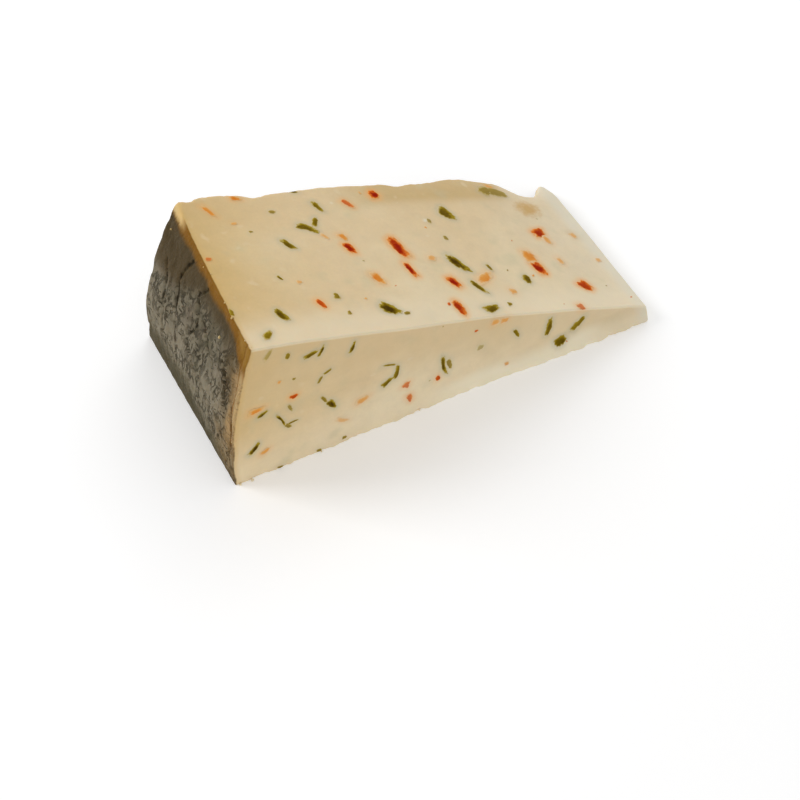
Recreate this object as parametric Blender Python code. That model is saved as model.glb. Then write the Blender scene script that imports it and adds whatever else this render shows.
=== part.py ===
"""A wedge of pepper jack cheese, lying on one of its cut faces.

The wedge is a sector of a small wheel, turned on its side. X runs from the rind to the
tip, Y from the freshly sliced front to the flat side of the wheel, and Z up from the cut
that it lies on. The sizes below are in millimetres, measured from the foot of the front
corner at the rind. The finished solid is in metres, with its origin under its middle.
"""

import math

import bmesh
import bpy
from mathutils import Matrix, Vector, geometry, noise
from mathutils.bvhtree import BVHTree

MM = 0.001

# The wedge's driving sizes
TIP_AT = 114.6
BASE_DEPTH = 53.8
RIND_TOP_FRONT = 45.2
RIND_TOP_BACK = 44.8
TIP_HEIGHT = 4.4

# The upper cut bows up between the rind and the tip
BOW_FRONT = 2.8
BOW_BACK = 4.3
BOW_SKEW_FRONT = 0.8
BOW_SKEW_BACK = 1.4

# The rind stands upright at its foot and leans in above it, as the wheel's rim does
RIM_BULGE = 0.7
RIM_BULGE_FROM = 12.0
RIM_BULGE_TO = 36.0
RIM_FOOT_FRONT = 5.0
RIM_FOOT_BACK = 8.0
RIM_DIAMETER_FRONT = 245.0
RIM_DIAMETER_BACK = 125.0

# The flat side of the wheel leans in, and the slicing knife left a foot along the front
BACK_LEAN = 1.2
BACK_TAPER = 1.2
FRONT_SET_BACK = 1.3
FRONT_FOOT_HEIGHT = 6.5
FRONT_FOOT_FROM = 40.0
FRONT_FOOT_FULL = 75.0
FRONT_FOOT_FLARE = 0.9
FRONT_FLARE_FROM = 73.0
FRONT_FLARE_FULL = 80.0

# The shoulder along the back of the upper cut, the swells and nicks of its edge (each at a
# distance from the rind, with how far it stands out and its width), and the bite out of its
# far corner
SHOULDER_WIDTH = 8.0
SHOULDER_DROP = 1.4
SHOULDER_FROM = 58.0
SHOULDER_FULL = 80.0
BITE_FROM = 97.0
BITE_FULL = 105.0
BITE_END = 107.0
SPUR_AT = 113.4
BITE_DEPTH = 5.4
EDGE_SWELLS = (
    (13.5, -1.0, 1.8),
    (21.0, 1.5, 9.0),
    (30.0, -1.2, 2.4),
    (47.0, 0.7, 10.0),
    (68.5, -1.0, 2.4),
    (86.0, 1.9, 8.0),
)
SWELL_FROM = 12.0
SWELL_FULL = 30.0
SWELL_DROP = 0.3

# Edges are crisp where a knife made them or the wedge lies on them, and round where the
# rind meets the shoulder. At the thin tip a radius is held to a share of the height.
BASE_EDGE_RADIUS = 0.35
CUT_EDGE_RADIUS = 0.8
SHOULDER_RADIUS = 2.2
SHOULDER_STARTS = 0.86
BASE_EDGE_ENDS = 0.1
UPPER_EDGE_STARTS = 0.5
RADIUS_SHARE = 0.42

# Relief: soft lumps and long upright fissures in the rind, faint waves in the cut faces
RIND_LUMP = 0.55
RIND_LUMP_SPAN = 11.0
RIND_BUMP = 0.22
RIND_BUMP_SPAN = 4.5
FISSURE_DEPTH = 1.2
FISSURE_HALF_WIDTH = 1.5
FISSURE_WANDER = 0.8
FISSURE_WANDER_SPAN = 3.5
CRACK_DEPTH = 0.7
CRACK_SPACING = 8.5
CRACK_LENGTH = 24.0
CRACK_SHARE = 0.20
CRACK_WANDER = 0.5
CRACK_WANDER_SPAN = 9.0
BACK_PATTERN_SHIFT = 60.0
CUT_WAVE = 0.22
CUT_WAVE_SPAN = 17.0
RELIEF_DEPTH = 4.0

# The main fissures of the rind, each through its places on it: how far from the front face
# and how high
FISSURES = (
    ((34, 42), (38, 34), (36.5, 28), (35.5, 21), (34, 14)),
    ((24, 42), (27.5, 37.5), (25, 32), (26, 28), (29, 24)),
    ((22.5, 34), (20, 32), (18, 29), (14.5, 28), (14, 22)),
    ((31, 23), (25.5, 21), (23, 18), (18, 17), (14, 14)),
    ((10, 33), (7.5, 30), (7, 26), (6, 20)),
    ((3, 26), (2, 20), (2, 11)),
    ((46, 33), (43.5, 29), (44, 20), (42, 12)),
    ((10, 16), (7, 14), (5, 8)),
)

# Layers of the noise, one for each kind of relief
TOP_LAYER = 1.0
BUMP_LAYER = 2.0
WANDER_LAYER = 4.0
FRONT_LAYER = 5.0
LUMP_LAYER = 9.0

# Cells of the grid that the wedge is shaped from, and the share of triangles that is kept
CELLS_ALONG = 56
CELLS_ACROSS = 36
CELLS_UP = 32
EDGE_CROWDING = 0.55
KEPT_SHARE = 0.36

# On a unit box round the origin, the faces past this distance are rind
RIND_FROM = 0.499

# An edge of that box lies along an axis when its direction has this share of it
PARALLEL = 0.99

# Faces that meet at less than this angle are shaded as one
SMOOTH_ANGLE = 35.0

# A piece of pepper stands this proud of the cut that it shows in
PEPPER_PROUD = 0.35
PEPPER_THICKNESS = 1.5
PEPPER_SIDES = 6
PEPPER_RINGS = 4

COLOURS = {
    "cheese_paste": (0.66, 0.54, 0.34),
    "cheese_rind": (0.16, 0.13, 0.085),
    "jalapeno": (0.10, 0.09, 0.012),
    "red_pepper": (0.42, 0.035, 0.008),
    "orange_pepper": (0.66, 0.25, 0.06),
}
ROUGHNESS = {
    "cheese_paste": 0.45,
    "cheese_rind": 0.8,
    "jalapeno": 0.4,
    "red_pepper": 0.4,
    "orange_pepper": 0.4,
}

# The larger pieces of pepper: kind, distance from the rind, distance from the front edge
# (or height, on the front face), length, width, and turn in degrees
PEPPERS_ON_TOP = (
    ("jalapeno", 44, 46, 4.5, 1.8, -70),
    ("jalapeno", 38, 38, 5.5, 3.4, -30),
    ("jalapeno", 31, 33, 4.5, 2.4, -58),
    ("jalapeno", 45, 7, 5.5, 4.2, -40),
    ("jalapeno", 18, 9, 4.6, 2.2, -65),
    ("jalapeno", 13, 5, 3.3, 2.0, 30),
    ("jalapeno", 77, 38, 5.6, 3.6, -57),
    ("jalapeno", 70, 20, 7.8, 3.4, -61),
    ("jalapeno", 71, 11, 5.4, 1.9, -59),
    ("jalapeno", 71, 4, 4.5, 2.7, 13),
    ("jalapeno", 86, 13, 2.7, 2.7, -60),
    ("jalapeno", 94, 45, 7.0, 4.0, -18),
    ("red_pepper", 52, 46, 4.5, 2.0, -60),
    ("red_pepper", 61, 47, 3.1, 3.0, -76),
    ("red_pepper", 45, 30, 4.3, 2.8, -69),
    ("red_pepper", 57, 27, 7.5, 3.6, -75),
    ("red_pepper", 57, 19, 5.7, 2.0, -80),
    ("red_pepper", 29, 11, 3.2, 1.8, -78),
    ("red_pepper", 66, 14, 4.3, 2.6, -67),
    ("red_pepper", 62, 5, 5.2, 2.6, -85),
    ("red_pepper", 92, 17, 4.9, 3.4, -68),
    ("red_pepper", 99, 30, 3.4, 3.4, -65),
    ("red_pepper", 101, 10, 4.8, 3.2, -61),
    ("orange_pepper", 17, 48, 4.7, 1.6, -66),
    ("orange_pepper", 47, 17, 5.0, 3.0, -70),
    ("orange_pepper", 45, 34, 3.0, 2.6, -76),
    ("orange_pepper", 75, 15, 5.6, 3.0, 25),
    ("orange_pepper", 90, 21, 4.5, 5.0, -62),
)
PEPPERS_ON_FRONT = (
    ("jalapeno", 21, 36, 4.1, 2.0, 8),
    ("jalapeno", 31, 33, 4.3, 1.2, 66),
    ("jalapeno", 24, 27, 4.8, 1.2, 40),
    ("jalapeno", 42, 18, 6.3, 1.6, 74),
    ("jalapeno", 25, 17, 5.0, 2.2, -46),
    ("jalapeno", 12, 17, 5.6, 1.2, -72),
    ("jalapeno", 5, 11, 4.0, 1.6, 41),
    ("jalapeno", 56, 13, 7.0, 1.4, -82),
    ("jalapeno", 76, 13, 3.6, 1.4, -67),
    ("jalapeno", 86, 10, 5.6, 1.9, 80),
    ("red_pepper", 45, 12, 2.6, 2.4, 63),
    ("red_pepper", 46, 7, 3.3, 1.6, -79),
    ("red_pepper", 16, 24, 2.2, 1.8, -11),
    ("orange_pepper", 7, 24, 5.0, 2.2, -14),
    ("orange_pepper", 34, 13, 4.3, 2.5, 8),
    ("orange_pepper", 71, 20, 4.6, 2.2, -10),
)


def smoothstep(low, high, value):
    """0 below low, 1 above high, and a smooth rise between them."""
    t = min(1.0, max(0.0, (value - low) / (high - low)))
    return t * t * (3 - 2 * t)


def mix(a, b, share):
    """a at share 0 and b at share 1."""
    return a + (b - a) * share


def top_height(along, across):
    """Height of the upper cut, from shares 0 to 1 of the way to the tip and to the back."""
    straight = mix(mix(RIND_TOP_FRONT, RIND_TOP_BACK, across), TIP_HEIGHT, along)
    skew = mix(BOW_SKEW_FRONT, BOW_SKEW_BACK, across)
    bow = mix(BOW_FRONT, BOW_BACK, across) * math.sin(math.pi * along**skew)
    return straight + bow


def rim_lean(height, across):
    """How far the rind has leaned in at this height; below 0 it stands out."""
    above = max(0.0, height - mix(RIM_FOOT_FRONT, RIM_FOOT_BACK, across))
    bulge = RIM_BULGE * (1 - smoothstep(RIM_BULGE_FROM, RIM_BULGE_TO, height))
    return above * above / mix(RIM_DIAMETER_FRONT, RIM_DIAMETER_BACK, across) - bulge


def front_offset(x, height):
    """How far the front face is set back above the foot that the slicing knife left."""
    set_back = FRONT_SET_BACK * smoothstep(FRONT_FOOT_FROM, FRONT_FOOT_FULL, x)
    flare = FRONT_FOOT_FLARE * smoothstep(FRONT_FLARE_FROM, FRONT_FLARE_FULL, x)
    above_foot = smoothstep(0.0, FRONT_FOOT_HEIGHT, height)
    return set_back * above_foot - flare * (1 - above_foot)


def back_offset(x, height):
    """Depth of the flat side of the wheel, with its lean, taper, swells and the bite."""
    depth = BASE_DEPTH - BACK_LEAN * height / RIND_TOP_BACK - BACK_TAPER * x / TIP_AT
    near_top = smoothstep(SWELL_FROM, SWELL_FULL, height + SWELL_DROP * x)
    for swell_at, swell, width in EDGE_SWELLS:
        depth += near_top * swell * math.exp(-(((x - swell_at) / width) ** 2))
    bite = smoothstep(BITE_FROM, BITE_FULL, x) * (1 - smoothstep(BITE_END, SPUR_AT, x))
    return depth - BITE_DEPTH * bite


def shoulder_drop(x, from_back):
    """How far the upper cut falls away close to its back edge."""
    share = smoothstep(SHOULDER_FROM, SHOULDER_FULL, x)
    near = max(0.0, 1 - from_back / SHOULDER_WIDTH)
    return SHOULDER_DROP * share * near * near


def rounded(point, box, radius):
    """A point of a box's surface, moved in to where the box's edges are rounded."""
    inner = Vector(min(max(p, radius), b - radius) for p, b in zip(point, box))
    out = point - inner
    if out.length == 0.0:
        return inner
    return inner + out * (radius / out.length)


def soft_noise(a, b, span, layer):
    """Smooth noise of about -1 to 1 over a face, one of a set of independent layers."""
    return noise.noise(Vector((a / span, b / span, layer)))


def fissure(across, up):
    """1 in the middle of a main fissure and 0 where the nearest one is out of reach."""
    wander = FISSURE_WANDER * soft_noise(across, up, FISSURE_WANDER_SPAN, WANDER_LAYER)
    place = Vector((across + wander, up))
    nearest = FISSURE_HALF_WIDTH
    for line in FISSURES:
        for start, end in zip(line, line[1:]):
            start, end = Vector(start), Vector(end)
            share = geometry.intersect_point_line(place, start, end)[1]
            foot = start.lerp(end, min(1.0, max(0.0, share)))
            nearest = min(nearest, (place - foot).length)
    return (1 - nearest / FISSURE_HALF_WIDTH) ** 2


def crack(across, up):
    """1 on a fine crack and 0 beside it, from the edges of long upright cells."""
    wander = CRACK_WANDER * soft_noise(across, up, CRACK_WANDER_SPAN, WANDER_LAYER)
    cell = Vector((across / CRACK_SPACING + wander, up / CRACK_LENGTH, 0.0))
    nearest = noise.voronoi(cell)[0]
    gap = nearest[1] - nearest[0]
    return max(0.0, 1 - gap / CRACK_SHARE) ** 2


def skin_relief(across, up):
    """Relief that the rim and the flat side share at a place on them, outwards."""
    lump = RIND_LUMP * soft_noise(across, up, RIND_LUMP_SPAN, LUMP_LAYER)
    bump = RIND_BUMP * soft_noise(across, up, RIND_BUMP_SPAN, BUMP_LAYER)
    return lump + bump - CRACK_DEPTH * crack(across, up)


def cut_wave(a, b, layer):
    """The faint waves that a knife leaves in a cut face."""
    return CUT_WAVE * soft_noise(a, b, CUT_WAVE_SPAN, layer)


def fade(depth):
    """1 at a face and 0 at the depth where its relief has died away."""
    return max(0.0, 1 - depth / RELIEF_DEPTH)


def above_base(height):
    """0 at the base, so that it stays flat, and 1 a little above it."""
    return smoothstep(0.0, RELIEF_DEPTH, height)


def crowded(share):
    """A grid line's place between 0 and 1, with the lines closer near both ends."""
    return share - EDGE_CROWDING * math.sin(2 * math.pi * share) / (2 * math.pi)


def wedge_point(along, across, up):
    """Where a point of the unit box's surface lies on the wedge, in millimetres."""
    height = top_height(along, across)
    radius = mix(CUT_EDGE_RADIUS, SHOULDER_RADIUS, smoothstep(SHOULDER_STARTS, 1.0, across))
    radius = mix(BASE_EDGE_RADIUS, radius, smoothstep(BASE_EDGE_ENDS, UPPER_EDGE_STARTS, up))
    radius = min(radius, RADIUS_SHARE * height)
    box = Vector((TIP_AT, BASE_DEPTH, height))
    place = rounded(box * Vector((along, across, up)), box, radius)
    from_back = BASE_DEPTH - place.y
    z = place.z - shoulder_drop(place.x, from_back) * place.z / height
    lean = rim_lean(z, across)
    x = lean + place.x * (TIP_AT - lean) / TIP_AT
    front, back = front_offset(x, z), back_offset(x, z)
    y = front + place.y * (back - front) / BASE_DEPTH
    relief_x = (FISSURE_DEPTH * fissure(y, z) - skin_relief(y, z)) * fade(place.x)
    relief_y = skin_relief(x + BACK_PATTERN_SHIFT, z) * fade(from_back)
    relief_y += cut_wave(x, z, FRONT_LAYER) * fade(place.y) * above_base(z)
    relief_z = cut_wave(x, y, TOP_LAYER) * fade(height - place.z) * above_base(z)
    return Vector((x + relief_x, y + relief_y, z + relief_z))


def clear_scene():
    """Removes every object that the file opened with."""
    for old in list(bpy.data.objects):
        bpy.data.objects.remove(old)


def new_collection(name):
    """A collection linked to the scene."""
    made = bpy.data.collections.new(name)
    bpy.context.scene.collection.children.link(made)
    return made


def new_material(name):
    """A Principled material in the colour and roughness that the tables give."""
    made = bpy.data.materials.new(name)
    made.use_nodes = True
    shader = made.node_tree.nodes["Principled BSDF"]
    shader.inputs["Base Color"].default_value = (*COLOURS[name], 1.0)
    shader.inputs["Roughness"].default_value = ROUGHNESS[name]
    shader.inputs["Metallic"].default_value = 0.0
    return made


def cut_edges_along(bm, axis, cuts):
    """Subdivides the edges that run along one axis into cuts + 1 pieces each."""
    edges = [
        e
        for e in bm.edges
        if abs((e.verts[1].co - e.verts[0].co).normalized()[axis]) > PARALLEL
    ]
    bmesh.ops.subdivide_edges(bm, edges=edges, cuts=cuts, use_grid_fill=True)


def build_wedge(collection, materials):
    """The cheese without its pepper: a gridded box, bent to the wedge and thinned out."""
    bm = bmesh.new()
    bmesh.ops.create_cube(bm, size=1.0)
    for axis, cells in enumerate((CELLS_ALONG, CELLS_ACROSS, CELLS_UP)):
        cut_edges_along(bm, axis, cells - 1)
    for face in bm.faces:
        at_rim = face.calc_center_median().x < -RIND_FROM
        at_flat_side = face.calc_center_median().y > RIND_FROM
        face.material_index = int(at_rim or at_flat_side)
    for vertex in bm.verts:
        shares = [crowded(min(1.0, max(0.0, c + 0.5))) for c in vertex.co]
        vertex.co = wedge_point(*shares) * MM
    mesh = bpy.data.meshes.new("cheese_wedge")
    bm.to_mesh(mesh)
    bm.free()
    mesh.materials.append(materials["cheese_paste"])
    mesh.materials.append(materials["cheese_rind"])
    wedge = bpy.data.objects.new("cheese_wedge", mesh)
    collection.objects.link(wedge)
    thin = wedge.modifiers.new("fewer_flat_faces", "DECIMATE")
    thin.ratio = KEPT_SHARE
    return wedge


def apply_modifiers(obj):
    """Puts the evaluated mesh in place of the object's own and clears its modifiers."""
    graph = bpy.context.evaluated_depsgraph_get()
    mesh = bpy.data.meshes.new_from_object(obj.evaluated_get(graph))
    obj.modifiers.clear()
    obj.data = mesh


def build_pepper(collection, material, point, normal, along, size, turn):
    """A flattened piece of pepper, sunk in the cut face that it shows in."""
    side = normal.cross(along).normalized()
    facing = Matrix((side.cross(normal), side, normal)).transposed().to_4x4()
    length, width = size
    half_thickness = PEPPER_THICKNESS / 2
    depth = half_thickness - PEPPER_PROUD
    bm = bmesh.new()
    bmesh.ops.create_uvsphere(
        bm, u_segments=PEPPER_SIDES, v_segments=PEPPER_RINGS, radius=1.0
    )
    shape = Matrix.Diagonal((length / 2 * MM, width / 2 * MM, half_thickness * MM, 1.0))
    spin = Matrix.Rotation(math.radians(turn), 4, "Z")
    place = Matrix.Translation(point - normal * depth * MM)
    bm.transform(place @ facing @ spin @ shape)
    mesh = bpy.data.meshes.new("pepper")
    bm.to_mesh(mesh)
    bm.free()
    mesh.materials.append(material)
    collection.objects.link(bpy.data.objects.new("pepper", mesh))


def build_peppers(wedge, collection, materials):
    """Every larger piece of pepper of the upper cut and of the front face."""
    surface = BVHTree.FromPolygons(
        [v.co for v in wedge.data.vertices], [p.vertices for p in wedge.data.polygons]
    )
    along = Vector((1, 0, 0))
    for kind, x, y, length, width, turn in PEPPERS_ON_TOP:
        start = Vector((x, y, 2 * RIND_TOP_FRONT)) * MM
        point, normal, _, _ = surface.ray_cast(start, Vector((0, 0, -1)))
        size = (length, width)
        build_pepper(collection, materials[kind], point, normal, along, size, turn)
    for kind, x, z, length, width, turn in PEPPERS_ON_FRONT:
        start = Vector((x, -BASE_DEPTH, z)) * MM
        point, normal, _, _ = surface.ray_cast(start, Vector((0, 1, 0)))
        size = (length, width)
        build_pepper(collection, materials[kind], point, normal, along, size, turn)


def fuse(wedge, pieces):
    """Joins the pieces to the wedge as one solid and removes the loose ones.

    The exact solver leaves open edges where pieces of pepper meet, so this one is manifold.
    """
    union = wedge.modifiers.new("fused_pepper", "BOOLEAN")
    union.operation = "UNION"
    union.operand_type = "COLLECTION"
    union.collection = pieces
    union.solver = "MANIFOLD"
    union.material_mode = "TRANSFER"
    apply_modifiers(wedge)
    for piece in list(pieces.objects):
        bpy.data.objects.remove(piece)
    bpy.data.collections.remove(pieces)


def centre_over_origin(wedge):
    """Moves the mesh so that the origin is under the middle of its bounding box."""
    xs, ys, zs = zip(*(v.co for v in wedge.data.vertices))
    middle = Vector(((min(xs) + max(xs)) / 2, (min(ys) + max(ys)) / 2, min(zs)))
    wedge.data.transform(Matrix.Translation(-middle))


def main():
    clear_scene()
    materials = {name: new_material(name) for name in COLOURS}
    wedge = build_wedge(new_collection("pepper_jack_cheese"), materials)
    apply_modifiers(wedge)
    pieces = new_collection("pepper_pieces")
    build_peppers(wedge, pieces, materials)
    fuse(wedge, pieces)
    centre_over_origin(wedge)
    wedge.data.shade_smooth()
    wedge.data.set_sharp_from_angle(angle=math.radians(SMOOTH_ANGLE))


main()
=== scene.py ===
"""The looks of a wedge of pepper jack cheese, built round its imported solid.

The wedge lies on one of its cut faces. In its own space, in millimetres, X runs from the rind
to the tip, Y from the freshly sliced front to the flat side of the wheel, and Z up, from the
foot of the front corner at the rind. Geometry Nodes shape the meshes there, and they are then
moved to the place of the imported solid, in metres.
"""

import logging
import math
from dataclasses import dataclass, field, fields
from enum import Enum
from types import SimpleNamespace
from typing import Any, Mapping, Optional, Sequence, Union

import bpy
from mathutils import Matrix, Vector


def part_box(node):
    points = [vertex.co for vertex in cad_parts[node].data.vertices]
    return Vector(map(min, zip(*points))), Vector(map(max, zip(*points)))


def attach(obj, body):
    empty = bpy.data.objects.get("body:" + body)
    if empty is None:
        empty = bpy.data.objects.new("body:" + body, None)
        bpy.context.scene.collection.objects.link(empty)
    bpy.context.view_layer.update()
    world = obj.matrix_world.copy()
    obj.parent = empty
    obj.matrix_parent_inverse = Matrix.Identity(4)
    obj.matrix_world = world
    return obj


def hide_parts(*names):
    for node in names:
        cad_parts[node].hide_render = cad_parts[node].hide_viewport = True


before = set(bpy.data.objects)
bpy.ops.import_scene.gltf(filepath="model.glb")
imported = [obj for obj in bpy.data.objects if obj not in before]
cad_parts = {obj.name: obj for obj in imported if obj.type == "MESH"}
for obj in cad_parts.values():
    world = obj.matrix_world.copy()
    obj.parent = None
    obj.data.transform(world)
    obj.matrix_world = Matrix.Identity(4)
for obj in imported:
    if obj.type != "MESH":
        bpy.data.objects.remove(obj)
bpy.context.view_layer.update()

LOG = logging.getLogger("cheese")

MM = 0.001
NODE = "cheese_wedge"
BODY = "root"

TURN = 2 * math.pi
TINY = 1e-6
WHITE = (1.0, 1.0, 1.0)

Colour = tuple[float, float, float]
Span = tuple[float, float]
Number = Union[float, "Field"]
Key = Union[str, int]


class Pepper(Enum):
    """The kinds of pepper in the cheese, each by its material slot."""

    GREEN = "jalapeno"
    RED = "red_pepper"
    ORANGE = "orange_pepper"


class Side(Enum):
    """The faces that flecks are placed on, each by the way that looks into it."""

    TOP = (0.0, 0.0, -1.0)
    FRONT = (0.0, 1.0, 0.0)


class Field:
    """The value of a node's socket, whose arithmetic adds Math nodes to its tree."""

    def __init__(self, writer: "NodeWriter", socket: bpy.types.NodeSocket) -> None:
        """Keeps the socket and the writer of its tree."""
        self.writer = writer
        self.socket = socket

    def math(self, operation: str, *values: Number) -> "Field":
        """A Math node of this operation on this value and the others."""
        return self.writer.math(operation, self, *values)

    def __add__(self, other: Number) -> "Field":
        """This value plus the other."""
        return self.math("ADD", other)

    __radd__ = __add__

    def __sub__(self, other: Number) -> "Field":
        """This value less the other."""
        return self.math("SUBTRACT", other)

    def __rsub__(self, other: Number) -> "Field":
        """The other value less this one."""
        return self.writer.math("SUBTRACT", other, self)

    def __mul__(self, other: Number) -> "Field":
        """This value times the other."""
        return self.math("MULTIPLY", other)

    __rmul__ = __mul__

    def __truediv__(self, other: Number) -> "Field":
        """This value over the other."""
        return self.math("DIVIDE", other)

    def __rtruediv__(self, other: Number) -> "Field":
        """The other value over this one."""
        return self.writer.math("DIVIDE", other, self)

    def __pow__(self, other: Number) -> "Field":
        """This value to the power of the other."""
        return self.math("POWER", other)

    def __neg__(self) -> "Field":
        """This value with its sign turned."""
        return self * -1.0

    def smooth(self, low: Number, high: Number) -> "Field":
        """0 below low, 1 above high, and a smooth rise between them."""
        inputs = {"Value": self, "From Min": low, "From Max": high}
        return self.writer.add("ShaderNodeMapRange", {"interpolation_type": "SMOOTHSTEP"}, inputs)

    def fall(self, low: Number, high: Number) -> "Field":
        """1 below low, 0 above high, and a smooth fall between them."""
        return 1.0 - self.smooth(low, high)

    def at_least(self, low: Number) -> "Field":
        """This value, or low where that is more."""
        return self.math("MAXIMUM", low)

    def at_most(self, high: Number) -> "Field":
        """This value, or high where that is less."""
        return self.math("MINIMUM", high)

    def also(self, output: Key) -> "Field":
        """Another output of the node that this value comes from."""
        return Field(self.writer, pick(self.socket.node.outputs, output))

    def parts(self) -> tuple["Field", "Field", "Field"]:
        """The three numbers of a vector."""
        x = self.writer.add("ShaderNodeSeparateXYZ", None, {0: self})
        return x, x.also(1), x.also(2)


def pick(sockets: Any, key: Optional[Key]) -> bpy.types.NodeSocket:
    """One of a node's sockets.

    Args:
        sockets: The node's inputs or outputs.
        key: A number in the whole list, a name, or None for the first that is in use.

    Returns:
        The socket. Of several with the name, it is the one in use.
    """
    if isinstance(key, int):
        return sockets[key]
    return next(s for s in sockets if s.enabled and key in (None, s.name))


def new_object(name: str, data: bpy.types.ID) -> bpy.types.Object:
    """A new object of the scene, at the origin.

    Args:
        name: Its name.
        data: Its mesh, camera or light.

    Returns:
        The object.
    """
    made = bpy.data.objects.new(name, data)
    bpy.context.scene.collection.objects.link(made)
    return made


def site_mesh(
    name: str, places: Sequence[Sequence[float]], columns: Mapping[str, Sequence[float]]
) -> bpy.types.Mesh:
    """A mesh of loose points.

    Args:
        name: Its name.
        places: Where the points are.
        columns: What each point has of each attribute, by the attribute's name.

    Returns:
        The mesh.
    """
    mesh = bpy.data.meshes.new(name)
    mesh.from_pydata(places, [], [])
    for column, values in columns.items():
        mesh.attributes.new(column, "FLOAT", "POINT").data.foreach_set("value", values)
    return mesh


class NodeWriter:
    """Writes the nodes of one tree, of a material or of a mesh."""

    def __init__(self, tree: bpy.types.NodeTree) -> None:
        """Keeps the tree that the nodes go in."""
        self.tree = tree

    def feed(self, socket: bpy.types.NodeSocket, value: Any) -> None:
        """Links a field to a socket, or sets the socket's own value.

        Args:
            socket: The input socket.
            value: A Field, a number, a colour, a vector or a data block.
        """
        if isinstance(value, Field):
            self.tree.links.new(value.socket, socket)
        elif socket.type == "RGBA":
            socket.default_value = (*value, 1.0)
        else:
            socket.default_value = value

    def add(
        self,
        kind: str,
        settings: Optional[Mapping[str, Any]] = None,
        inputs: Optional[Mapping[Key, Any]] = None,
        output: Optional[Key] = None,
    ) -> Field:
        """Adds one node.

        Args:
            kind: The node's type.
            settings: Its own settings, which are set first.
            inputs: The values or fields of its sockets, by name or by number.
            output: The output to return, or None for the first in use.

        Returns:
            The output's field.
        """
        node = self.tree.nodes.new(kind)
        for name, value in (settings or {}).items():
            setattr(node, name, value)
        for key, value in (inputs or {}).items():
            self.feed(pick(node.inputs, key), value)
        return Field(self, pick(node.outputs, output))

    def math(self, operation: str, *values: Number) -> Field:
        """A Math node of this operation on up to three values."""
        return self.add("ShaderNodeMath", {"operation": operation}, dict(enumerate(values)))

    def vector(self, operation: str, *values: Any) -> Field:
        """A Vector Math node of this operation on up to three vectors."""
        return self.add("ShaderNodeVectorMath", {"operation": operation}, dict(enumerate(values)))

    def scaled(self, value: Any, factor: Number) -> Field:
        """A vector times a number."""
        inputs = {0: value, "Scale": factor}
        return self.add("ShaderNodeVectorMath", {"operation": "SCALE"}, inputs)

    def joined(self, x: Number, y: Number, z: Number) -> Field:
        """A vector from its three numbers."""
        return self.add("ShaderNodeCombineXYZ", None, {0: x, 1: y, 2: z})

    def mix(self, low: Number, high: Number, share: Number) -> Field:
        """low at share 0 and high at share 1, for numbers."""
        return self.add("ShaderNodeMix", {"data_type": "FLOAT"}, {"Factor": share, "A": low, "B": high})

    def blend(self, low: Any, high: Any, share: Number) -> Field:
        """The colour low at share 0 and the colour high at share 1."""
        settings = {"data_type": "RGBA", "clamp_factor": True}
        return self.add("ShaderNodeMix", settings, {"Factor": share, "A": low, "B": high})

    def layered(self, base: Any, layers: Sequence[tuple[Any, Number]]) -> Field:
        """A colour with others laid over it.

        Args:
            base: The lowest colour.
            layers: The others in order, each with how much of it shows.

        Returns:
            The colour.
        """
        for colour, share in layers:
            base = self.blend(base, colour, share)
        return base

    def noise(self, at: Any, span: Number, detail: float = 2.0, rough: float = 0.5) -> Field:
        """Soft noise of about -1 to 1.

        Args:
            at: Where it is read, in millimetres.
            span: The size of its largest waves, in millimetres.
            detail: How many finer layers it has.
            rough: How strong the finer layers are.

        Returns:
            The noise.
        """
        inputs = {"Vector": at, "Scale": 1.0 / span, "Detail": detail, "Roughness": rough}
        return self.add("ShaderNodeTexNoise", None, inputs) * 2.0 - 1.0

    def cells(self, at: Any) -> Field:
        """Distance from the middles of cells about one unit wide, whose node gives each a colour."""
        return self.add("ShaderNodeTexVoronoi", None, {"Vector": at, "Scale": 1.0}, "Distance")


class MaterialWriter(NodeWriter):
    """Writes a new material round its shader."""

    def __init__(self, name: str) -> None:
        """Makes the material."""
        self.material = bpy.data.materials.new(name)
        self.material.use_nodes = True
        super().__init__(self.material.node_tree)

    def attribute(self, name: str, output: str = "Fac") -> Field:
        """An attribute of the mesh that the material is on."""
        return self.add("ShaderNodeAttribute", {"attribute_name": name}, None, output)

    def bump(self, height: Field) -> Field:
        """The normal over a relief of this height in millimetres."""
        return self.add("ShaderNodeBump", None, {"Distance": MM, "Height": height})

    def finish(self, values: Mapping[str, Any]) -> bpy.types.Material:
        """Links or sets the sockets of the shader.

        Args:
            values: Their fields or values, by the socket's name.

        Returns:
            The material.
        """
        shader = self.tree.nodes["Principled BSDF"]
        for name, value in values.items():
            self.feed(shader.inputs[name], value)
        return self.material


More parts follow.
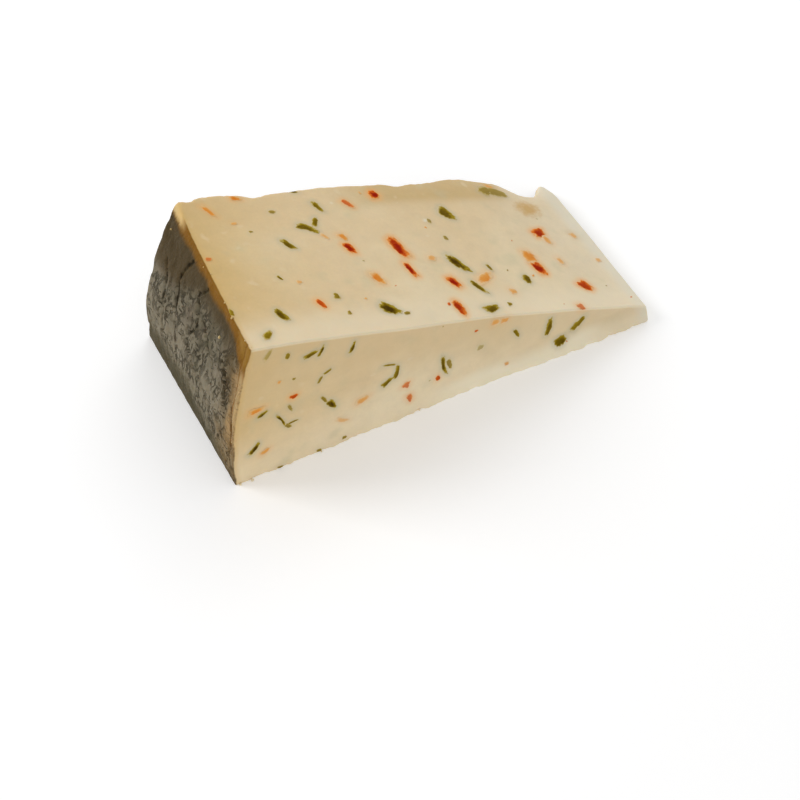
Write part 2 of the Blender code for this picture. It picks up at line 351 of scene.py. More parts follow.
class GeometryTree(NodeWriter):
    """A Geometry Nodes tree with named inputs, run on a mesh to make another."""

    def __init__(self, name: str) -> None:
        """Makes an empty tree that takes a mesh and gives one."""
        super().__init__(bpy.data.node_groups.new(name, "GeometryNodeTree"))
        for way in ("INPUT", "OUTPUT"):
            self.tree.interface.new_socket("Mesh", in_out=way, socket_type="NodeSocketGeometry")
        self._given = self.tree.nodes.new("NodeGroupInput")
        self.source = Field(self, self._given.outputs["Mesh"])

    def size(self, name: str, kind: str = "NodeSocketFloat") -> Field:
        """Adds a named input.

        Args:
            name: The input's name.
            kind: Its socket's type.

        Returns:
            The input's field.
        """
        self.tree.interface.new_socket(name, in_out="INPUT", socket_type=kind)
        return Field(self, self._given.outputs[name])

    def sizes(self, names: Sequence[str]) -> SimpleNamespace:
        """One named number input for each name, as the fields of a namespace."""
        return SimpleNamespace(**{name: self.size(name) for name in names})

    def store(self, mesh: Field, name: str, value: Field, kind: str = "FLOAT") -> Field:
        """Writes a value on a mesh's points as an attribute.

        Args:
            mesh: The mesh.
            name: The attribute's name.
            value: What is written.
            kind: The attribute's type.

        Returns:
            The mesh with the attribute.
        """
        inputs = {"Geometry": mesh, "Name": name, "Value": value}
        return self.add("GeometryNodeStoreNamedAttribute", {"data_type": kind}, inputs)

    def read(self, name: str, kind: str = "FLOAT") -> Field:
        """A named attribute's value."""
        return self.add("GeometryNodeInputNamedAttribute", {"data_type": kind}, {"Name": name})

    def random(self, low: float, high: float, seed: Number) -> Field:
        """A random number of each point."""
        inputs = {"Min": low, "Max": high, "Seed": seed}
        return self.add("FunctionNodeRandomValue", {"data_type": "FLOAT"}, inputs)

    def mesh_of(self, name: str) -> Field:
        """The mesh of the object that is the input of this name."""
        source = {"Object": self.size(name, "NodeSocketObject")}
        return self.add("GeometryNodeObjectInfo", {"transform_space": "ORIGINAL"}, source, "Geometry")

    def moved(self, mesh: Field, place: Field) -> Field:
        """A mesh with its points at another place."""
        return self.add("GeometryNodeSetPosition", None, {"Geometry": mesh, "Position": place})

    def instances(self, inputs: Mapping[Key, Any]) -> Field:
        """A shape set out on points, as real meshes."""
        made = self.add("GeometryNodeInstanceOnPoints", None, inputs)
        return self.add("GeometryNodeRealizeInstances", None, {0: made})

    def nearest(
        self, mesh: Field, output: str, inputs: Optional[Mapping[Key, Any]] = None, element: str = "FACES"
    ) -> Field:
        """What is nearest on a mesh.

        Args:
            mesh: The mesh.
            output: Distance or Position.
            inputs: The place to look from, if that isn't the point's own.
            element: Whether it is the mesh's faces or its edges.

        Returns:
            The output's field.
        """
        given = {0: mesh, **(inputs or {})}
        return self.add("GeometryNodeProximity", {"target_element": element}, given, output)

    def sampled(
        self, mesh: Field, value: Field, kind: str, inputs: Optional[Mapping[Key, Any]] = None
    ) -> Field:
        """A value at the nearest place of a mesh's surface.

        Args:
            mesh: The mesh.
            value: What is read there.
            kind: The value's type.
            inputs: The place to look from, if that isn't the point's own.

        Returns:
            The value.
        """
        given = {"Mesh": mesh, "Value": value, **(inputs or {})}
        return self.add("GeometryNodeSampleNearestSurface", {"data_type": kind}, given)

    def end(self, mesh: Field) -> None:
        """Ends the tree with real meshes, shaded smooth, in the material that is its last input.

        Args:
            mesh: What the tree has made.
        """
        material = self.size("material", "NodeSocketMaterial")
        real = self.add("GeometryNodeRealizeInstances", None, {0: mesh})
        soft = self.add("GeometryNodeSetShadeSmooth", None, {"Geometry": real, "Shade Smooth": True})
        worn = self.add("GeometryNodeSetMaterial", None, {"Geometry": soft, "Material": material})
        given = self.tree.nodes.new("NodeGroupOutput")
        self.tree.links.new(worn.socket, given.inputs["Mesh"])

    def run(self, name: str, mesh: bpy.types.Mesh, values: Mapping[str, Any]) -> bpy.types.Mesh:
        """Runs the tree.

        Args:
            name: The name of the new mesh.
            mesh: The mesh that the tree starts from.
            values: The values of its named inputs.

        Returns:
            The new mesh, with no modifier left.
        """
        holder = new_object(name, mesh)
        modifier = holder.modifiers.new(name, "NODES")
        modifier.node_group = self.tree
        for item in self.tree.interface.items_tree:
            if item.in_out == "INPUT" and item.name in values:
                modifier[item.identifier] = values[item.name]
        graph = bpy.context.evaluated_depsgraph_get()
        made = bpy.data.meshes.new_from_object(
            holder.evaluated_get(graph), preserve_all_data_layers=True, depsgraph=graph
        )
        bpy.data.objects.remove(holder)
        made.name = name
        return made


@dataclass(frozen=True)
class PasteFinish:
    """The cut cheese: smooth cream paste, mottled, with pores and a few knife marks.

    Each span of millimetres is where one tone fades in or out, along X, Y or Z of the wedge.
    """

    cream: Colour = (0.77, 0.60, 0.36)
    pale: Colour = (0.81, 0.67, 0.435)
    tip: Colour = (0.68, 0.56, 0.375)
    yellow: Colour = (0.63, 0.41, 0.125)
    grey_green: Colour = (0.58, 0.53, 0.33)
    shoulder: Colour = (0.61, 0.43, 0.19)
    # Painted bounce light from the floor, paler towards the foot
    foot: Colour = (0.97, 0.84, 0.60)
    shade: Colour = (0.66, 0.475, 0.235)
    # Painted glow of the front's thin foot, lit through and from the floor
    strip: Colour = (1.0, 0.90, 0.68)
    clear: Colour = (0.78, 0.74, 0.60)
    singed: Colour = (0.60, 0.34, 0.08)
    smear: Colour = (0.86, 0.80, 0.66)
    # Painted highlight on the top near its front edge
    edge_highlight: Colour = (0.88, 0.77, 0.56)
    red_stain: Colour = (0.86, 0.42, 0.13)
    green_stain: Colour = (0.46, 0.45, 0.32)
    red_share: float = 0.55
    orange_share: float = 0.33
    green_share: float = 0.36
    roughness: float = 0.42
    near_rind: Span = (-10.0, 44.0)
    at_tip: Span = (84.0, 110.0)
    at_foot: Span = (0.0, 22.0)
    at_back: Span = (32.0, 50.0)
    band_edge: Span = (41.4, 45.8)
    band_start: Span = (46.0, 66.0)
    band_end: Span = (95.0, 100.0)
    mottle_span: float = 26.0
    ghost_span: float = 8.0
    curd_span: float = 3.2
    stroke_cell: tuple[float, float, float] = (10.0, 7.0, 4.5)

    def share(self, kind: Pepper) -> float:
        """How strongly a kind of pepper stains the paste."""
        shares = {Pepper.GREEN: self.green_share, Pepper.RED: self.red_share}
        return shares.get(kind, self.orange_share)

    def colour(self, w: NodeWriter, place: Field) -> Field:
        """The paste's colour, before any stain.

        Args:
            w: The writer of the material's tree.
            place: The place in the wedge, in millimetres.

        Returns:
            The colour.
        """
        x, y, z = place.parts()
        band = (y + w.noise(place, 9.0, 2.0) * 0.9).smooth(*self.band_edge) * x.smooth(*self.band_start)
        strokes = w.cells(w.vector("DIVIDE", place, self.stroke_cell))
        chosen = strokes.also("Color").parts()[0].smooth(0.62, 0.66)
        broken = w.noise(place, 0.7, 2.0).smooth(-0.5, 0.3)
        layers = (
            (self.pale, w.noise(place, self.mottle_span, 2.0).smooth(-0.25, 0.45)),
            (self.yellow, x.fall(*self.near_rind) * (y.smooth(0.0, 30.0) * 0.42 + 0.62)),
            (self.tip, x.smooth(*self.at_tip)),
            # Paler towards the foot: painted bounce light from the floor
            (self.foot, z.fall(*self.at_foot) * 0.6),
            (self.shade, y.smooth(*self.at_back) * 0.24),
            (self.shoulder, band * x.fall(*self.band_end) * 0.8),
            (self.grey_green, w.noise(place, self.ghost_span, 2.0).smooth(0.10, 0.55) * 0.32),
            (self.pale, w.noise(place, self.curd_span, 1.0).smooth(0.25, 0.6) * 0.35),
            (self.smear, strokes.fall(0.05, 0.14) * chosen * broken * 0.7),
        )
        grain = w.noise(place, 4.5, 4.0, 0.7) * 0.09 + w.noise(place, 0.6, 2.0) * 0.03 + 1.0
        return w.scaled(w.layered(self.cream, layers), grain)


@dataclass(frozen=True)
class RindFinish:
    """The dry rind: grey over brown, creased and pitted like bark, with a brown fringe.

    Each span of millimetres is where one tone fades in or out, over Y or Z of the wedge or the
    distance from one of its edges. A dash is its cell's length and height, and its share.
    """

    grey: Colour = (0.072, 0.061, 0.036)
    ash: Colour = (0.185, 0.155, 0.100)
    rose: Colour = (0.170, 0.125, 0.085)
    moss: Colour = (0.105, 0.098, 0.055)
    umber: Colour = (0.068, 0.043, 0.014)
    # Painted shade along the rind's foot
    olive: Colour = (0.050, 0.039, 0.014)
    loam: Colour = (0.250, 0.212, 0.138)
    clay: Colour = (0.235, 0.148, 0.056)
    # A lighter tone, laid as painted highlight on the ridges, as painted light between the main cracks, and
    # towards the back
    ridge: Colour = (0.330, 0.285, 0.205)
    # Painted shade in the creases, dashes and cracks
    dark: Colour = (0.030, 0.023, 0.009)
    skin: Colour = (0.420, 0.270, 0.120)
    brown: Colour = (0.220, 0.096, 0.007)
    tan: Colour = (0.300, 0.160, 0.026)
    roughness: float = 0.82
    earthy: Span = (8.0, 29.0)
    clay_to_loam: Span = (3.0, 17.0)
    beside_front: Span = (2.0, 13.0)
    beside_corner: Span = (7.0, 14.0)
    # Where painted light falls on the swells between the main cracks
    light_spots: tuple[Span, ...] = ((32.0, 20.0), (13.0, 21.0))
    spot_size: Span = (8.0, 10.0)
    brown_wide: Span = (24.0, 46.0)
    brown_depth: Span = (6.0, 15.0)
    foot_wide: Span = (2.0, 26.0)
    foot_height: Span = (0.8, 8.3)
    crease_span: float = 2.8
    crease_stretch: float = 0.34
    long_dash: tuple[float, float, float] = (4.2, 0.95, 0.5)
    short_dash: tuple[float, float, float] = (1.3, 0.8, 0.35)
    corner_reach: float = 9.0
    corner_rise: float = 6.4
    curl_width: Span = (2.2, 5.6)
    seam_at: float = 1.9
    seam_half_width: float = 0.45

    def _creases(self, w: NodeWriter, skin: Field) -> tuple[Field, Field]:
        """The jagged creases that run up the rind.

        Args:
            w: The writer of the material's tree.
            skin: The place on the rind.

        Returns:
            How far the place is in a crease, and on the ridge beside one, each up to 1.
        """
        upright = w.vector("MULTIPLY", skin, (1.0, 1.0, self.crease_stretch))
        fold = w.noise(upright, self.crease_span, 4.0, 0.6).math("ABSOLUTE")
        strong = w.noise(skin, 5.0, 1.0).smooth(-0.45, 0.25)
        return fold.fall(0.0, 0.09) * strong, fold.smooth(0.06, 0.14) * fold.fall(0.18, 0.34) * strong

    def _dashes(self, w: NodeWriter, skin: Field, dash: tuple[float, float, float]) -> Field:
        """Dark dashes that lie along the rind.

        Args:
            w: The writer of the material's tree.
            skin: The place on the rind.
            dash: The length and height of each dash's cell, and how many of the cells hold one.

        Returns:
            1 in a dash and 0 beside it.
        """
        long, tall, share = dash
        warp = w.noise(skin, 1.6, 1.0) * 0.5
        bent = w.vector("ADD", skin, w.joined(warp, 0.0, warp * 0.7))
        cells = w.cells(w.vector("DIVIDE", bent, (long, long, tall)))
        chosen = cells.also("Color").parts()[0].smooth(1.0 - share, 1.05 - share)
        return cells.fall(0.15, 0.31) * chosen

    def _ground(self, w: NodeWriter, at: SimpleNamespace) -> tuple[Field, Field, Field]:
        """The broad tones, brown under the upper edge, most so towards the back, and painted shade along the
        foot.

        Args:
            w: The writer of the material's tree.
            at: The place on the rind and its patterns.

        Returns:
            The colour, how far the place is in the smooth brown part, and how far in the foot.
        """
        reach = w.mix(*self.brown_depth, at.y.smooth(*self.brown_wide))
        upper = (at.below - reach).fall(-2.5, 4.5)
        foot_height = w.mix(*self.foot_height, at.y.smooth(*self.foot_wide))
        foot = (at.z + at.coarse * 4.0 - foot_height).fall(-4.0, 4.6)
        low = (at.z + at.coarse * 4.0).fall(*self.earthy)
        earth = w.blend(self.clay, self.loam, at.y.smooth(*self.clay_to_loam))
        hinder = at.y.smooth(36.0, 50.0) * at.z.smooth(5.0, 10.0) * at.z.fall(28.0, 38.0)
        layers = [
            (self.ash, (at.bark + at.coarse * 0.5).smooth(-0.55, 0.7)),
            (self.rose, w.noise(at.skin, 6.0, 2.0).smooth(0.0, 0.5) * 0.5),
            (self.moss, w.noise(at.skin, 4.0, 2.0).smooth(0.1, 0.5) * 0.5),
            (earth, low * (at.bark * 0.5 + 0.5)),
            (self.clay, (at.front + at.coarse * 2.5).fall(*self.beside_front) * 0.5),
            (self.ridge, hinder * (at.bark * 0.3 + 0.3)),
        ]
        # Painted light on the swells between the main cracks
        wide, tall = self.spot_size
        for y, z in self.light_spots:
            away = ((at.y - y) / wide) ** 2.0 + ((at.z - z) / tall) ** 2.0 + at.coarse * 0.5
            layers.append((self.ridge, away.fall(0.1, 1.3) * 0.32))
        cornered = (at.front + at.coarse * 2.0).fall(*self.beside_corner) * at.z.smooth(20.0, 29.0)
        layers.append((self.umber, upper.at_least(cornered * 0.6) * 0.85))
        # Painted shade along the rind's foot, where it curves in to the floor
        layers.append((self.olive, foot * 0.75))
        return w.layered(self.grey, layers), upper, foot

    def colour(
        self, w: NodeWriter, skin: Field, place: Field, depth: Mapping[str, Field]
    ) -> tuple[Field, Field]:
        """The rind's colour and its fine relief.

        Args:
            w: The writer of the material's tree.
            skin: The place on the rind, over its length and height.
            place: The place in the wedge, in millimetres.
            depth: The wedge's own attributes.

        Returns:
            The colour, and the height in millimetres.
        """
        at = SimpleNamespace(skin=skin, front=depth["front_depth"])
        _, at.y, at.z = place.parts()
        at.coarse = w.noise(skin, 5.0, 3.0, 0.6)
        at.bark = w.noise(w.vector("MULTIPLY", skin, (1.0, 1.0, 0.45)), 1.9, 4.0, 0.65)
        fine = w.noise(skin, 1.1, 3.0, 0.65)
        at.below = depth["top_depth"] + w.noise(skin, 8.0, 2.0) * 1.2 + fine * 0.4
        made, upper, foot = self._ground(w, at)

        # Painted shade in the creases and dashes everywhere but in the smooth part and the foot, and in the
        # main cracks
        creased, lit_ridges = self._creases(w, skin)
        marks = creased * 0.85
        marks = marks.at_least(self._dashes(w, skin, self.long_dash) * 0.9)
        marks = marks.at_least(self._dashes(w, skin, self.short_dash) * 0.8)
        marks = marks * (1.0 - upper * 0.8) * (1.0 - foot * 0.75)
        worn = w.noise(skin, 3.2, 2.0).smooth(-0.5, 0.3) * 0.35 + 0.65
        groove = (depth["fissure"] * worn + fine * 0.3 + at.bark * 0.2).smooth(0.2, 0.6)
        marks = marks.at_least(groove)

        # The fringe is broad at the front corner, and a pale skin curls round the front edge
        rim = at.below - at.front.fall(0.0, self.corner_reach) * self.corner_rise
        curled = (at.front + at.coarse * 1.4 + fine).fall(*self.curl_width)
        off_seam = ((at.front + fine * 0.35 - self.seam_at) / self.seam_half_width).math("ABSOLUTE")
        seam = off_seam.fall(0.2, 1.0)
        seam = seam * (w.noise(skin, 3.0, 2.0) + at.z.smooth(4.0, 20.0)).smooth(0.35, 0.75)
        layers = (
            # Painted highlight on the ridges beside the creases
            (self.ridge, lit_ridges * (1.0 - upper) * (1.0 - foot) * 0.26),
            # Painted shade in the hollows
            (self.dark, marks * 0.92),
            (self.brown, rim.fall(1.2, 3.6) * 0.95),
            (self.tan, (rim + fine * 0.5).fall(-2.4, 0.9) * 0.8),
            (self.skin, curled * at.z.smooth(8.0, 16.0) * at.z.fall(34.0, 40.0) * 0.8),
            (self.brown, seam * 0.75),
        )
        height = at.bark * 0.34 + fine * 0.14 + at.coarse * 0.2 - marks * 0.55 - seam * 0.2
        return w.layered(made, layers), height


@dataclass(frozen=True)
class CheeseFinish:
    """Paste and rind as one finish, told apart by how deep under the rind a place is."""

    shift: Vector
    paste: PasteFinish = PasteFinish()
    rind: RindFinish = RindFinish()
    shine: float = 0.12
    glow_share: float = 0.18
    glow_reach: Colour = (1.0, 0.62, 0.32)
    glow_depth: float = 2.2
    patch_at: Span = (101.8, 39.8)
    patch_size: Span = (3.8, 3.4)
    spur_at: Span = (112.0, 52.0)
    spur_size: Span = (3.0, 3.5)
    strip_start: Span = (44.0, 66.0)
    strip_end: Span = (94.0, 106.0)
    strip_height: Span = (2.4, 6.4)

    def place(self, w: NodeWriter) -> Field:
        """Where a point is in the wedge's own millimetres."""
        here = w.add("ShaderNodeTexCoord", None, None, "Object")
        return w.vector("MULTIPLY_ADD", here, (1 / MM,) * 3, tuple(self.shift))

    def _dressed(
        self, w: MaterialWriter, place: Field, depth: Mapping[str, Field], under: Field
    ) -> Field:
        """The paste with what its edges and the peppers add to its colour, painted shade, highlights and
        glow at the edges among them.

        Args:
            w: The writer of the material's tree.
            place: The place in the wedge, in millimetres.
            depth: The wedge's own attributes.
            under: 1 right under the rind and 0 deeper in the paste.

        Returns:
            The colour.
        """
        x, y, z = place.parts()
        own, top, front = self.paste, depth["top_depth"], depth["front_depth"]
        shaded = top.smooth(0.1, 0.8) * (top + w.noise(place, 9.0) * 4.0).fall(5.0, 22.0)
        # Painted highlight on the top, strongest near the front edge
        edge_highlight = top.fall(0.2, 0.9) * (front + w.noise(place, 6.0) * 2.0).fall(3.0, 13.0)
        # Painted light on the front's thin foot: the glow of light through it and bounced up from the floor
        strip = (z + w.noise(place, 9.0, 2.0) * 1.8).fall(*self.strip_height)
        strip = strip * x.smooth(*self.strip_start) * (1.0 - x.smooth(*self.strip_end) * 0.6)
        at_end = (x + y * 0.05).smooth(110.0, 114.0)
        spur, patch = (
            ((x - at[0]) / size[0]) ** 2.0 + ((y - at[1]) / size[1]) ** 2.0
            for at, size in ((self.spur_at, self.spur_size), (self.patch_at, self.patch_size))
        )
        patch = patch.math("SQRT") + w.noise(place, 1.8, 3.0, 0.6) * 0.6
        layers = (
            (own.shade, shaded * front.fall(0.5, 2.0) * 0.4),
            (own.edge_highlight, edge_highlight * 0.55),
            (own.strip, strip * 0.8),
            (own.clear, at_end.at_least(spur.fall(0.3, 1.6)) * 0.6),
            (own.singed, patch.fall(0.2, 1.3) * z.smooth(4.0, 6.0) * 0.75),
            # Painted highlight along the edge itself
            (own.edge_highlight, top.at_least(front).fall(0.15, 0.7) * 0.5),
            (own.green_stain, w.attribute("green_stain") * own.green_share),
            (own.red_stain, w.attribute("red_stain") * own.red_share),
            (own.yellow, under * 0.35),
        )
        return w.layered(own.colour(w, place), layers)

    def build(self) -> bpy.types.Material:
        """The material, read from Object coordinates and the wedge's own attributes."""
        w = MaterialWriter("cheese")
        place = self.place(w)
        x, y, z = place.parts()
        depth = {name: w.attribute(name) for name in Wedge.DEPTHS}

        # The rim shows its pattern over Y and Z, and the flat side over X and Z
        flat, top, rim = depth["side_depth"], depth["top_depth"], depth["rim_depth"]
        skin = w.vector("ADD", w.joined(y + x, 0.0, z), (0.0, 0.0, 3.0))
        fine = w.noise(skin, 1.1, 3.0, 0.65)
        upright = rim.fall(0.6, 1.6) * flat.fall(0.6, 1.6)
        nearest = rim.at_most(flat + 0.15) - upright * 0.7
        ragged = nearest + w.noise(skin, 5.0, 3.0, 0.6) * 0.12 + fine * 0.12
        bare = y.smooth(41.5, 47.0) * (top + fine * 0.5).fall(1.0, 2.8)
        shaved = z.smooth(16.0, 24.0) * z.fall(35.0, 40.0)
        shaved = shaved * (depth["front_depth"] + fine * 0.3).fall(0.9, 2.0)
        rind_mask = ragged.fall(0.10, 0.55) * (1.0 - bare.at_least(shaved * 0.3))

        rind, rind_height = self.rind.colour(w, skin, place, depth)
        paste = self._dressed(w, place, depth, (nearest + fine * 0.2).fall(0.4, 2.0))
        gloss = w.noise(place, 3.0, 3.0) * 0.06 + self.paste.roughness
        pores = w.noise(place, 0.9, 2.0).smooth(0.45, 0.8) * -0.05
        knife = w.noise(w.vector("MULTIPLY", place, (0.25, 1.0, 1.0)), 1.6, 2.0) * 0.018
        waves = w.noise(place, 7.0, 1.0) * 0.06
        values = {
            "Base Color": w.blend(paste, rind, rind_mask),
            "Roughness": w.mix(gloss, self.rind.roughness, rind_mask),
            "Normal": w.bump(w.mix(pores + knife + waves, rind_height, rind_mask)),
            "Specular IOR Level": self.shine,
            "Subsurface Weight": self.glow_share,
            "Subsurface Radius": self.glow_reach,
            "Subsurface Scale": self.glow_depth * MM,
        }
        return w.finish(values)


@dataclass(frozen=True)
class PepperFinish:
    """One kind of pepper: wet flesh with a darker core, painted shade on one side and painted light on the
    other, and a ragged, half clear border.
    """

    kind: Pepper
    core: Colour
    flesh: Colour
    border: Colour
    around: CheeseFinish
    soft: float = 0.25
    roughness: float = 0.5
    shine: float = 0.02

    def build(self) -> bpy.types.Material:
        """The material, read from Object coordinates and the flecks' own attributes."""
        w = MaterialWriter(self.kind.value)
        place = self.around.place(w)
        along, across, _ = w.attribute("local", "Vector").parts()
        faint = w.attribute("faint")
        paste = self.around.paste
        stain = paste.green_stain if self.kind is Pepper.GREEN else paste.red_stain
        bleeds = w.attribute("length").smooth(0.5, 3.0) * (1.0 - faint) * paste.share(self.kind)
        clear = w.blend(paste.colour(w, place), stain, bleeds)

        # One side is painted darker and the other lighter, as shade and light on the piece, and the border
        # is torn
        torn = (along * along + across * across).math("SQRT") + w.noise(place, 1.3, 4.0, 0.65) * 0.5
        streak = w.noise(w.vector("MULTIPLY", place, (1.0, 2.0, 1.0)), 1.1, 3.0)
        lit_side = across * 0.55 + along * 0.2 + w.noise(place, 1.7, 2.0) * 0.5 + streak * 0.3
        deep = (torn + lit_side * 0.7).fall(0.1, 0.85) * (1.0 - faint * 4.0).at_least(0.0)
        layers = (
            (self.border, lit_side.smooth(0.0, 0.7) * 0.75),
            (self.core, (-lit_side).smooth(0.05, 0.6) * 0.6),
            (self.core, deep),
        )
        inner = w.layered(self.flesh, layers)
        inner = w.blend(self.border, inner, torn.fall(0.55, 0.9) * (1.0 - faint * 0.55))
        shown = torn.fall(1.0 - self.soft - faint * 0.3, 1.0)
        shown = shown * (1.0 - (faint - 0.2).at_least(0.0) * 0.6)
        values = {
            "Base Color": w.blend(clear, inner, shown),
            "Roughness": streak * 0.08 + self.roughness,
            "Normal": w.bump(w.noise(place, 0.7, 3.0) * 0.06 + streak * 0.05),
            "Specular IOR Level": self.shine,
        }
        return w.finish(values)


@dataclass(frozen=True)
class FloorFinish:
    """The plain pale floor, with the faintest unevenness in its tone."""

    colour: Colour = (0.93, 0.93, 0.93)
    darker: Colour = (0.91605, 0.91605, 0.91605)
    roughness: float = 0.9
    glow: float = 0.2
    cloud_span: float = 0.3

    def build(self) -> bpy.types.Material:
        """The floor's material."""
        w = MaterialWriter("floor")
        place = w.add("ShaderNodeTexCoord", None, None, "Object")
        cloud = w.noise(place, self.cloud_span, 2.0).smooth(-1.0, 1.0)
        values = {
            "Base Color": w.blend(self.colour, self.darker, cloud),
            "Roughness": self.roughness,
            "Emission Color": WHITE,
            "Emission Strength": self.glow,
        }
        return w.finish(values)


@dataclass
class Wedge:
    """The cheese itself, with its rind and cut faces. Its sizes are in millimetres."""

    DEPTHS = ("rim_depth", "side_depth", "top_depth", "front_depth", "fissure")

    tip_at: float = 114.6
    base_depth: float = 53.8
    rind_top_front: float = 45.2
    rind_top_back: float = 44.8
    tip_height: float = 4.4
    bow_front: float = 2.8
    bow_back: float = 4.3
    bow_skew_front: float = 0.8
    bow_skew_back: float = 1.4
    rim_bulge: float = 0.7
    rim_bulge_from: float = 12.0
    rim_bulge_to: float = 36.0
    rim_foot_front: float = 5.0
    rim_foot_back: float = 8.0
    rim_diameter_front: float = 245.0
    rim_diameter_back: float = 125.0
    back_lean: float = 1.2
    back_taper: float = 1.2
    front_set_back: float = 1.3
    front_foot_height: float = 6.5
    front_foot_from: float = 40.0
    front_foot_full: float = 75.0
    front_foot_flare: float = 0.9
    front_flare_from: float = 73.0
    front_flare_full: float = 80.0
    shoulder_width: float = 8.0
    shoulder_drop: float = 1.4
    shoulder_from: float = 58.0
    shoulder_full: float = 80.0
    bite_from: float = 97.0
    bite_full: float = 105.0
    bite_end: float = 107.0
    spur_at: float = 113.4
    bite_depth: float = 5.4
    swell_from: float = 12.0
    swell_full: float = 30.0
    swell_drop: float = 0.3
    base_edge_radius: float = 0.35
    cut_edge_radius: float = 0.35
    shoulder_radius: float = 2.2
    shoulder_starts: float = 0.86
    base_edge_ends: float = 0.1
    upper_edge_starts: float = 0.5
    radius_share: float = 0.42
    rind_lump: float = 0.3
    rind_lump_span: float = 11.0
    rind_bump: float = 0.2
    rind_bump_span: float = 2.4
    rind_fold: float = 0.28
    rind_fold_span: float = 5.0
    fissure_depth: float = 1.1
    fissure_half_width: float = 0.8
    fissure_wander: float = 0.9
    fissure_wander_span: float = 2.2
    foot_fray: float = 1.3
    foot_fray_span: float = 3.4
    foot_fray_height: float = 1.6
    cut_wave: float = 0.35
    cut_wave_span: float = 17.0
    relief_depth: float = 4.0
    edge_crowding: float = 0.4
    cells: tuple[int, int, int] = (190, 120, 85)
    swells: tuple[tuple[float, float, float], ...] = (
        (13.5, -1.0, 1.8),
        (21.0, 1.5, 9.0),
        (30.0, -1.2, 2.4),
        (47.0, 0.7, 10.0),
        (68.5, -1.0, 2.4),
        (86.0, 1.9, 8.0),
    )
    fissures: tuple[tuple[tuple[float, float], ...], ...] = (
        ((34, 42), (36.2, 38.3), (38, 34), (37, 30.6), (36.5, 26), (35.5, 21), (34, 14)),
        ((24, 42), (27.5, 37.5), (25.5, 34.3), (24.8, 31), (26, 28), (29, 24)),
        ((22.5, 34), (20, 32), (18, 29), (14.5, 28), (14, 22)),
        ((31, 23), (25.5, 21), (24, 18), (19.7, 18.7), (17.7, 16.6), (14, 15)),
        ((10, 33), (7.5, 30), (7.3, 26), (6, 21)),
        ((3, 26), (2, 21.5), (1.5, 17.9), (2, 11)),
        ((46, 33), (43.5, 29), (44, 20), (42, 12)),
        ((10, 16), (7.8, 15), (5.5, 9)),
        ((43, 23.4), (39.5, 23.8)),
    )

    def _height(self, t: GeometryTree, s: SimpleNamespace, along: Field, across: Field) -> Field:
        """Height of the upper cut.

        Args:
            t: The tree.
            s: Its named inputs.
            along: The share of the way from the rind to the tip.
            across: The share of the way from the front to the back.

        Returns:
            The height.
        """
        at_rind = t.mix(s.rind_top_front, s.rind_top_back, across)
        skew = t.mix(s.bow_skew_front, s.bow_skew_back, across)
        rise = (along.at_least(0.0) ** skew * math.pi).math("SINE")
        return t.mix(at_rind, s.tip_height, along) + t.mix(s.bow_front, s.bow_back, across) * rise

    def _rounded(self, t: GeometryTree, point: Field, box: Field, radius: Field) -> Field:
        """A point of a box's surface, moved in to where the box's edges are rounded.

        Args:
            t: The tree.
            point: The point.
            box: The box's three sizes.
            radius: The radius of its edges there.

        Returns:
            The moved point.
        """
        inset = t.joined(radius, radius, radius)
        inner = t.vector("MINIMUM", t.vector("MAXIMUM", point, inset), t.vector("SUBTRACT", box, inset))
        out = t.vector("SUBTRACT", point, inner)
        reach = t.vector("LENGTH", out).at_least(TINY)
        return t.vector("ADD", inner, t.scaled(out, radius / reach))

    def _lean(self, t: GeometryTree, s: SimpleNamespace, z: Field, across: Field) -> Field:
        """How far the rind has leaned in at this height; below 0 it stands out.

        Args:
            t: The tree.
            s: Its named inputs.
            z: The height.
            across: The share of the way from the front to the back.

        Returns:
            The lean.
        """
        above = (z - t.mix(s.rim_foot_front, s.rim_foot_back, across)).at_least(0.0)
        bulge = s.rim_bulge * z.fall(s.rim_bulge_from, s.rim_bulge_to)
        return above * above / t.mix(s.rim_diameter_front, s.rim_diameter_back, across) - bulge

    def _front(self, s: SimpleNamespace, x: Field, z: Field) -> Field:
        """How far the front face is set back above the foot that the knife left.

        Args:
            s: The tree's named inputs.
            x: The distance from the rind.
            z: The height.

        Returns:
            The distance.
        """
        set_back = s.front_set_back * x.smooth(s.front_foot_from, s.front_foot_full)
        flare = s.front_foot_flare * x.smooth(s.front_flare_from, s.front_flare_full)
        above_foot = z.smooth(0.0, s.front_foot_height)
        return set_back * above_foot - flare * (1.0 - above_foot)

    def _back(self, s: SimpleNamespace, x: Field, z: Field) -> Field:
        """Depth of the flat side of the wheel, with its lean, taper, swells and bite.

        Args:
            s: The tree's named inputs.
            x: The distance from the rind.
            z: The height.

        Returns:
            The depth.
        """
        depth = s.base_depth - s.back_lean * z / s.rind_top_back - s.back_taper * x / s.tip_at
        near_top = (z + s.swell_drop * x).smooth(s.swell_from, s.swell_full)
        for at, swell, width in self.swells:
            away = (x - at) / width
            depth = depth + near_top * swell * (-(away * away)).math("EXPONENT")
        bite = x.smooth(s.bite_from, s.bite_full) * x.fall(s.bite_end, s.spur_at)
        return depth - s.bite_depth * bite

